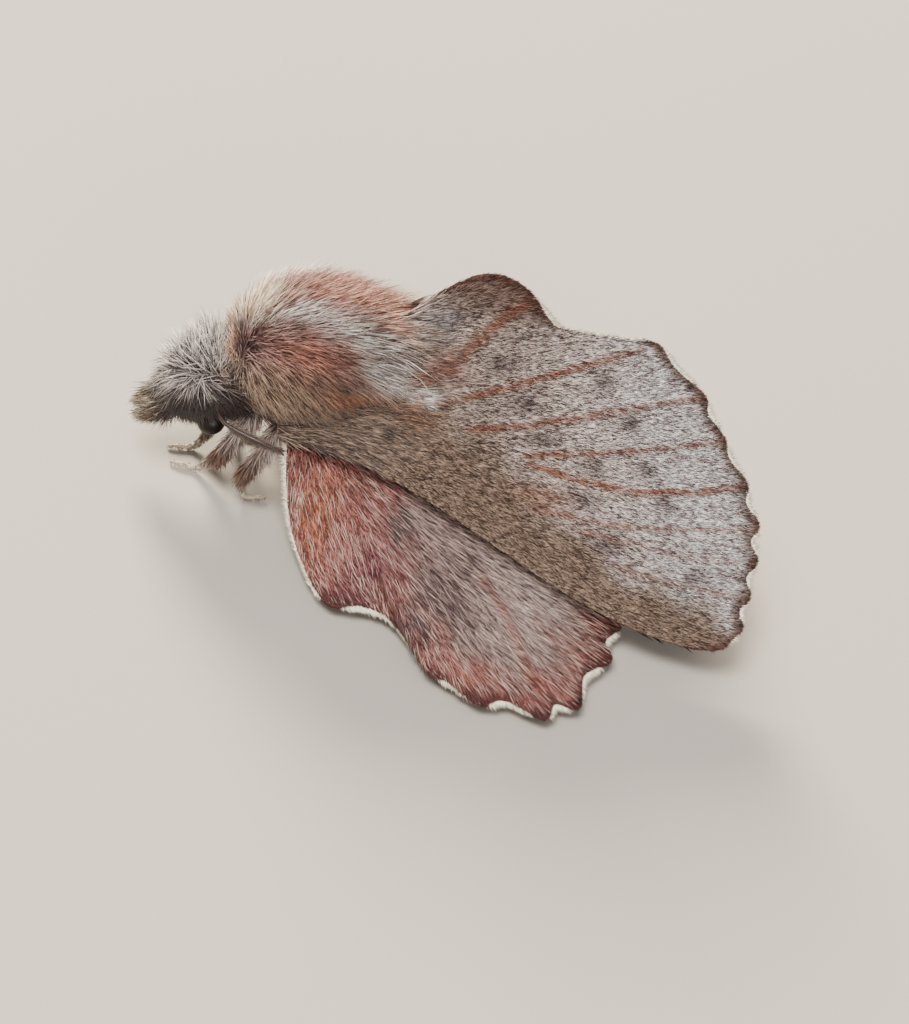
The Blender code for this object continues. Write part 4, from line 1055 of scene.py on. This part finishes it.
def wing_pattern(columns, bowed):
    """The pattern's x and y, the distance from the margin and the white share, column by row."""
    listed = soft_line(columns, FINE)
    start, end, white = listed[:, 0:2], listed[:, 2:4], listed[:, 4]
    run = end - start
    reach = np.linalg.norm(run, axis=1)
    inset = FRINGE + BAY_INSET * np.clip(white, 0, 1)
    end = end - run / reach[:, None] * inset[:, None]
    t = np.linspace(0, 1, ROWS)
    fade = np.clip(1 - np.arange(len(listed)) / (BOW_FADES_OVER * FINE), 0, 1) * bowed
    bow = BOW_PEAK * t * (1 - t) * (COSTA_DIP * (1 - t) + COSTA_ARCH * t)
    across = np.stack([-run[:, 1], run[:, 0]], axis=1) / reach[:, None]
    line = start[:, None] + (end - start)[:, None] * t[None, :, None]
    line = line + across[:, None] * (fade[:, None] * bow)[..., None]
    edge = (reach - inset)[:, None] * (1 - t)[None]
    return line[..., 0], line[..., 1], edge, np.repeat(np.clip(white, 0, 1)[:, None], ROWS, axis=1)


fore_x, fore_down, fore_edge, fore_white = wing_pattern(FORE_COLUMNS, True)
hind_x, hind_out, hind_edge, hind_white = wing_pattern(HIND_COLUMNS, False)
print("grid of the forewing:", fore_x.shape, "and of the hindwing:", hind_x.shape)


def hind_place(x, out):
    """The left hindwing's place: high at its root, and falling to the floor, in front first."""
    t = np.linspace(0, 1, x.shape[1])[None, :] + 0 * x
    turn = np.arctan2(x[:, -1] - HIND_HUB[0], out[:, -1] - HIND_HUB[1])
    share = np.clip((turn - HIND_FALL_FROM) / HIND_FALL_OVER, 0, 1)
    fall = HIND_FRONT_FALL + (HIND_BACK_FALL - HIND_FRONT_FALL) * share
    height = HIND_MARGIN_HEIGHT + (HIND_ROOT_HEIGHT - HIND_MARGIN_HEIGHT) * (1 - t) ** fall[:, None]
    return np.stack([x, -out, height], axis=-1)


# %% [markdown]
# Veins stand up on a wing as fine ridges, so the surface is raised along their lines
# before it is thickened.

# %% Membranes
MEMBRANE_THICKNESS = 0.1
VEIN_RAISE = 0.07


def surface_normals(places, up):
    """The normals of a grid of places, on the side where up points, and the way to the margin."""
    run = np.gradient(places, axis=1)
    across = np.gradient(places, axis=0)
    normal = np.cross(across, run)
    normal /= np.maximum(np.linalg.norm(normal, axis=-1), 1e-12)[..., None]
    way = run / np.maximum(np.linalg.norm(run, axis=-1), 1e-12)[..., None]
    return normal * np.sign((normal * up).sum(axis=-1))[..., None], way


def vein_relief(x, y, veins):
    """How far each place is raised by the veins near it."""
    raised = np.zeros(x.size)
    for line, half, _ in veins:
        far, _ = line_distance(x.ravel(), y.ravel(), line)
        raised = np.maximum(raised, VEIN_RAISE * np.exp(-(far / (0.8 * half + 0.05)) ** 2))
    return raised.reshape(x.shape)


def membrane(name, places, colours, flip):
    """A wing's membrane: a grid primitive laid on the places and given its thickness."""
    columns, rows = places.shape[:2]
    bpy.ops.object.select_all(action="DESELECT")
    bpy.ops.mesh.primitive_grid_add(x_subdivisions=columns - 1, y_subdivisions=rows - 1, size=1.0)
    wing = bpy.context.object
    wing.name = name
    flat = mesh_points(wing.data)
    column = np.rint((flat[:, 0] + 0.5) * (columns - 1)).astype(int)
    row = np.rint((flat[:, 1] + 0.5) * (rows - 1)).astype(int)
    wing.data.vertices.foreach_set("co", places[column, row].astype(np.float32).ravel())
    colour_mesh(wing.data, colours.reshape(columns, rows, 3)[column, row])
    if flip:
        wing.data.flip_normals()
    thick = wing.modifiers.new("thickness", "SOLIDIFY")
    thick.thickness = MEMBRANE_THICKNESS
    thick.offset = 0.0
    apply_all(wing)
    bpy.ops.object.shade_smooth()
    return wing


def sow_on_grid(fields, count, dice):
    """Random places, even over the area of a grid, with every field between its corners."""
    places = fields["place"]
    here = places[:-1, :-1]
    size = np.linalg.norm(np.cross(places[1:, :-1] - here, places[:-1, 1:] - here), axis=-1)
    pick = dice.choice(size.size, count, p=(size / size.sum()).ravel())
    column, row = np.unravel_index(pick, size.shape)
    a, b = dice.random(count), dice.random(count)
    found = {}
    for name, field in fields.items():
        field = field if field.ndim == 3 else field[..., None]
        wa, wb = a[:, None], b[:, None]
        value = ((1 - wa) * (1 - wb) * field[column, row] + wa * (1 - wb) * field[column + 1, row]
                 + (1 - wa) * wb * field[column, row + 1] + wa * wb * field[column + 1, row + 1])
        found[name] = value if value.shape[1] > 1 else value[:, 0]
    found["map"] = np.stack([(column + a) / size.shape[0], (row + b) / size.shape[1]], axis=1) * 0.95 + 0.02
    return found


# %% [markdown]
# ## Scales and fringes
#
# Each wing carries tens of thousands of hair-like scales that lie from root to margin
# like thatch. Around the margin a fringe of longer ones sticks out, white in the bays
# and dark at the ends of the veins. The lower sides of the forewings show from behind,
# where the wings part, so they carry scales too, fewer and broader ones.

# %% Hair and scales of a wing
MOST_SCALES = 49000  # in one piece
FRONT_FRINGE_COUNT, FRONT_FRINGE_LENGTH = 1500, 0.3
STREAK_WIDTH = 0.08
STREAK_RUN = [20.0, 4.0]  # the grid's width and length, shortened so that the streaks run along the wing
ROOT_HAIR_REACH = 0.5  # of the thorax's size beyond its fur


def wing_pair(found, pair, flip, reach=0.0):
    """The pale and dark colours of places sown on a wing, for scales that reach this far."""
    spread_out = found["place"] * [1, -1, 1] if flip else found["place"]
    return pair(found["x"], found["y"], found["edge"] - 0.6 * reach, found["white"], spread_out)


def root_hair(name, slot, fields, pair, count, flip):
    """Soft hair on the wing beside the thorax, shorter and shorter away from it."""
    found = sow_on_grid(fields, count, dice)
    beyond = np.linalg.norm((found["place"] - THORAX_CENTRE) / THORAX_FUR, axis=1) - 1
    near = (beyond < ROOT_HAIR_REACH) & (found["edge"] > 0.4)
    found = {key: value[near] for key, value in found.items()}
    share = 1 - np.clip(beyond[near] / ROOT_HAIR_REACH, 0, 1)
    count = len(share)
    normal = unit(found["normal"])
    way = along_skin(unit(found["way"]) + 0.2 * dice.normal(size=(count, 3)), normal)
    mottle = 0.3 * cloud(found["place"], 0.14, 44)
    under, over = shades(wing_pair(found, pair, flip), dice, 1.9, mottle=mottle)
    coat = hairs(name, found["place"] + normal * (MEMBRANE_THICKNESS / 2), normal, way,
                 (0.45 + 0.6 * share) * dice.uniform(0.7, 1.15, count), dice.uniform(0.032, 0.055, count),
                 0.12 + 0.2 * share, np.full(count, 0.12), under, over, found["map"])
    settle(coat, HAIR, slot)


def upper_scales(name, slot, fields, pair, count, length, widths, rare, flip):
    """The scales of a wing's upper side, shorter and straighter beside the front edge."""
    found = sow_on_grid(fields, count, dice)
    normal = unit(found["normal"])
    inside = step(found["map"][:, 0], 0.02, 0.06)
    scatter = (0.06 + 0.18 * inside)[:, None] * dice.normal(size=(count, 3))
    way = along_skin(unit(found["way"]) + scatter, normal)
    sizes = np.minimum(length * dice.uniform(0.65, 1.3, count) * (0.5 + 0.5 * inside),
                       found["edge"] + 0.12 - 0.11 * found["white"])
    streaks = np.column_stack([found["map"] * STREAK_RUN, np.zeros(count)])
    mottle = 0.25 * cloud(streaks, STREAK_WIDTH, 43)
    under, over = shades(wing_pair(found, pair, flip, sizes), dice, 2.1, rare, mottle)
    width = dice.uniform(*widths, count)
    lift = dice.uniform(0.05, 0.2, count)
    root = found["place"] + normal * (MEMBRANE_THICKNESS / 2)
    parts = math.ceil(count / MOST_SCALES)
    for number, some in enumerate(np.array_split(np.arange(count), parts)):
        coat = slivers(f"{name}_{number + 1}", root[some], normal[some], way[some], sizes[some],
                       width[some], lift[some], under[some], over[some], found["map"][some])
        settle(coat, SCALES, slot)


def under_scales(name, slot, fields, pair, count, flip):
    """Broad scales on the lower side of a wing, duller than those above."""
    found = sow_on_grid(fields, count, dice)
    normal = -unit(found["normal"])
    way = along_skin(unit(found["way"]) + 0.2 * dice.normal(size=(count, 3)), normal)
    sizes = np.minimum(0.5 * dice.uniform(0.7, 1.3, count), found["edge"] + 0.05)
    under, over = shades(wing_pair(found, pair, flip, sizes), dice, 1.7, 1.5)
    coat = slivers(name, found["place"] + normal * (MEMBRANE_THICKNESS / 2), normal, way, sizes,
                   dice.uniform(0.06, 0.1, count), dice.uniform(0.05, 0.15, count),
                   0.85 * under, 0.85 * over, found["map"])
    settle(coat, SCALES, slot)


def fringe(name, slot, line, normals, ways, white, count, length):
    """Hairs that stick out of an edge, white in the bays and dark at the veins."""
    run = np.append(0, np.cumsum(np.linalg.norm(np.diff(line, axis=0), axis=1)))
    at = np.interp(np.sort(dice.uniform(0, run[-1], count)), run, np.arange(len(run)))

    def between(field):
        index = np.arange(len(run))
        return np.stack([np.interp(at, index, field[:, axis]) for axis in range(field.shape[1])], axis=1)

    whiteness = step(between(white[:, None])[:, 0] + 0.1 * dice.normal(size=count), 0.3, 0.55)[:, None]
    normal = unit(between(normals))
    way = along_skin(unit(between(ways)) + 0.2 * dice.normal(size=(count, 3)), normal)
    tip = linear("#FFF6E0") * whiteness + linear("#4E2E2A") * (1 - whiteness)
    tip = np.clip(tip * dice.uniform(0.85, 1.2, (count, 1)), 0, 1)
    sizes = length * dice.uniform(0.6, 1.1, count) * (0.5 + 0.5 * whiteness[:, 0])
    depth = dice.uniform(0.02, 0.14, count)[:, None]
    layer = dice.uniform(-0.5, 0.5, count)[:, None] * MEMBRANE_THICKNESS
    place = np.stack([0.02 + 0.95 * at / len(run), dice.uniform(0.1, 0.9, count)], axis=1)
    coat = slivers(name, between(line) - way * depth + normal * layer, normal, way, sizes,
                   dice.uniform(0.03, 0.055, count), dice.uniform(-0.12, 0.12, count),
                   tip * (0.5 + 0.4 * whiteness), tip, place)
    settle(coat, SCALES, slot)


def pale_hair(name, slot, fields, count):
    """Long pale hairs, a few to each square millimetre, that lie over the scales."""
    found = sow_on_grid(fields, count, dice)
    normal = unit(found["normal"])
    way = along_skin(unit(found["way"]) + 0.16 * dice.normal(size=(count, 3)), normal)
    sizes = np.minimum(dice.uniform(0.45, 0.95, count), found["edge"] * 0.9 + 0.05)
    colour = linear("#E8CCBE") * dice.uniform(0.6, 1.0, (count, 1))
    coat = slivers(name, found["place"] + normal * MEMBRANE_THICKNESS, normal, way, sizes,
                   dice.uniform(0.016, 0.028, count), dice.uniform(0.1, 0.2, count),
                   colour * 0.8, colour, found["map"])
    settle(coat, HAIR, slot)


# %% Dress the four wings
def wing_fields(places, up, pattern, veins):
    """What a wing has at each point of its grid, with its veins raised."""
    x, y, edge, white = pattern
    up = np.array(up)
    normals, _ = surface_normals(places, up)
    places = places + normals * vein_relief(x, y, veins)[..., None]
    normals, ways = surface_normals(places, up)
    return {"place": places, "normal": normals, "way": ways, "x": x, "y": y, "edge": edge, "white": white}


def lay_membrane(wing, slot, fields, pair, flip):
    """A wing's membrane, in its own markings."""
    flat = {key: field.reshape(-1, 3) if field.ndim == 3 else field.ravel() for key, field in fields.items()}
    pale, dark = wing_pair(flat, pair, flip)
    sheet = membrane(f"{wing}_membrane", fields["place"], 0.35 * pale + 0.6 * dark, flip)
    settle(sheet, MEMBRANE, slot, wing)


def lay_fringe(wing, slot, fields, count, length):
    """The fringe round a wing's margin, which lies as the outermost scales do."""
    fringe(f"{wing}_fringe", slot, fields["place"][:, -1], fields["normal"][:, -2], fields["way"][:, -2],
           fields["white"][:, -1], count, length)


def make_forewing(side, roof, up, flip, scales, fringes):
    """A forewing with hair beside the thorax, and scales on both sides."""
    wing, slot = f"forewing_{side}", "forewing_scales"
    pattern = (fore_x, fore_down, fore_edge, fore_white)
    fields = wing_fields(roof(fore_x, fore_down), up, pattern, FORE_VEINS)
    lay_membrane(wing, slot, fields, forewing_pair, flip)
    root_hair(f"{wing}_root_hair", slot, fields, forewing_pair, scales // 2, flip)
    upper_scales(f"{wing}_scales", slot, fields, forewing_pair, scales, 0.36, (0.025, 0.044), 1.15, flip)
    under_scales(f"{wing}_under_scales", slot, fields, forewing_pair, scales // 7, flip)
    lay_fringe(wing, slot, fields, fringes, 0.37)


def make_hindwing(side, sign, flip, scales, fringes):
    """A hindwing with long scales, pale hair over them, and a second fringe on its front edge."""
    wing, slot = f"hindwing_{side}", "hindwing_scales"
    pattern = (hind_x, hind_out, hind_edge, hind_white)
    fields = wing_fields(hind_place(hind_x, hind_out) * [1, sign, 1], (0, 0, 1.0), pattern, HIND_STREAKS)
    lay_membrane(wing, slot, fields, hindwing_pair, flip)
    upper_scales(f"{wing}_scales", slot, fields, hindwing_pair, scales, 0.55, (0.022, 0.042), 1.6, flip)
    lay_fringe(wing, slot, fields, fringes, 0.36)
    pale_hair(f"{wing}_pale_hair", slot, fields, scales // 30)
    front = fields["place"]
    ahead = unit(front[0] - front[3])
    fringe(f"{wing}_front_fringe", slot, front[0], fields["normal"][0], ahead, np.full(len(ahead), 0.8),
           FRONT_FRINGE_COUNT, FRONT_FRINGE_LENGTH)


make_forewing("left", left_roof, (0, -0.7, 0.7), False, 78000, 5500)
make_forewing("right", right_roof, (0, 0.7, 0.7), True, 38000, 4000)
make_hindwing("left", 1, False, 46000, 4800)
make_hindwing("right", -1, True, 27000, 3000)

# %% [markdown]
# ## Floor, light and camera
#
# The moth stands on a plain pale floor, lit like a museum specimen: one broad soft
# light from above on the left, and one from behind that catches the rim of the fur.
# A hundred-millimetre lens, rolled by twenty-one degrees, gives the view.

# %% Floor
bpy.ops.object.select_all(action="DESELECT")
bpy.ops.mesh.primitive_plane_add(size=1.6, location=(0, 0, 0))
floor = bpy.context.object
floor.name = "floor"
card = bpy.data.materials.new("pale card")
card.use_nodes = True
card_shader = card.node_tree.nodes["Principled BSDF"]
card_shader.inputs["Base Color"].default_value = (*linear("#A19C95"), 1)
card_shader.inputs["Roughness"].default_value = 0.9
floor.data.materials.append(card)


# %% Lights
def soft_light(name, place, size, power, colour):
    """A square soft light that points at the moth."""
    bpy.ops.object.light_add(type="AREA", location=place)
    lamp = bpy.context.object
    lamp.name = name
    lamp.data.size = size
    lamp.data.energy = power
    lamp.data.color = linear(colour)
    lamp.rotation_euler = (Vector((0, 0, 0.004)) - Vector(place)).to_track_quat("-Z", "Y").to_euler()
    return lamp


soft_light("key", (-0.17, -0.1, 0.36), 0.2, 3.2, "#FFF8F0")
soft_light("rim", (-0.08, 0.38, 0.2), 0.14, 9.0, "#FFEFD6")
soft_light("fill", (0.06, -0.42, 0.1), 0.2, 1.3, "#FFF4EA")
world = bpy.data.worlds.new("studio")
bpy.context.scene.world = world
world.use_nodes = True
sky = world.node_tree.nodes["Background"]
sky.inputs["Color"].default_value = (*linear("#E9EBEE"), 1)
sky.inputs["Strength"].default_value = 0.62

# %% Camera
AZIMUTH, ELEVATION, ROLL = math.radians(-20), math.radians(36), math.radians(21)
CAMERA_PLACE = (-26.82 * MM, -78.1 * MM, 59.9 * MM)
level = Vector((math.cos(AZIMUTH), math.sin(AZIMUTH), 0))
level_back = Vector((math.sin(AZIMUTH), -math.cos(AZIMUTH), 0))
back = level_back * math.cos(ELEVATION) + Vector((0, 0, math.sin(ELEVATION)))
upward = back.cross(level)
right = level * math.cos(ROLL) + upward * math.sin(ROLL)
above = upward * math.cos(ROLL) - level * math.sin(ROLL)
camera_data = bpy.data.cameras.new("camera")
camera_data.lens = 100
camera_data.sensor_fit = "VERTICAL"
camera_data.sensor_height = 36
camera_data.clip_start = 0.005
camera = bpy.data.objects.new("camera", camera_data)
bpy.context.collection.objects.link(camera)
camera.matrix_world = Matrix.Translation(CAMERA_PLACE) @ Matrix((right, above, back)).transposed().to_4x4()
bpy.context.scene.camera = camera
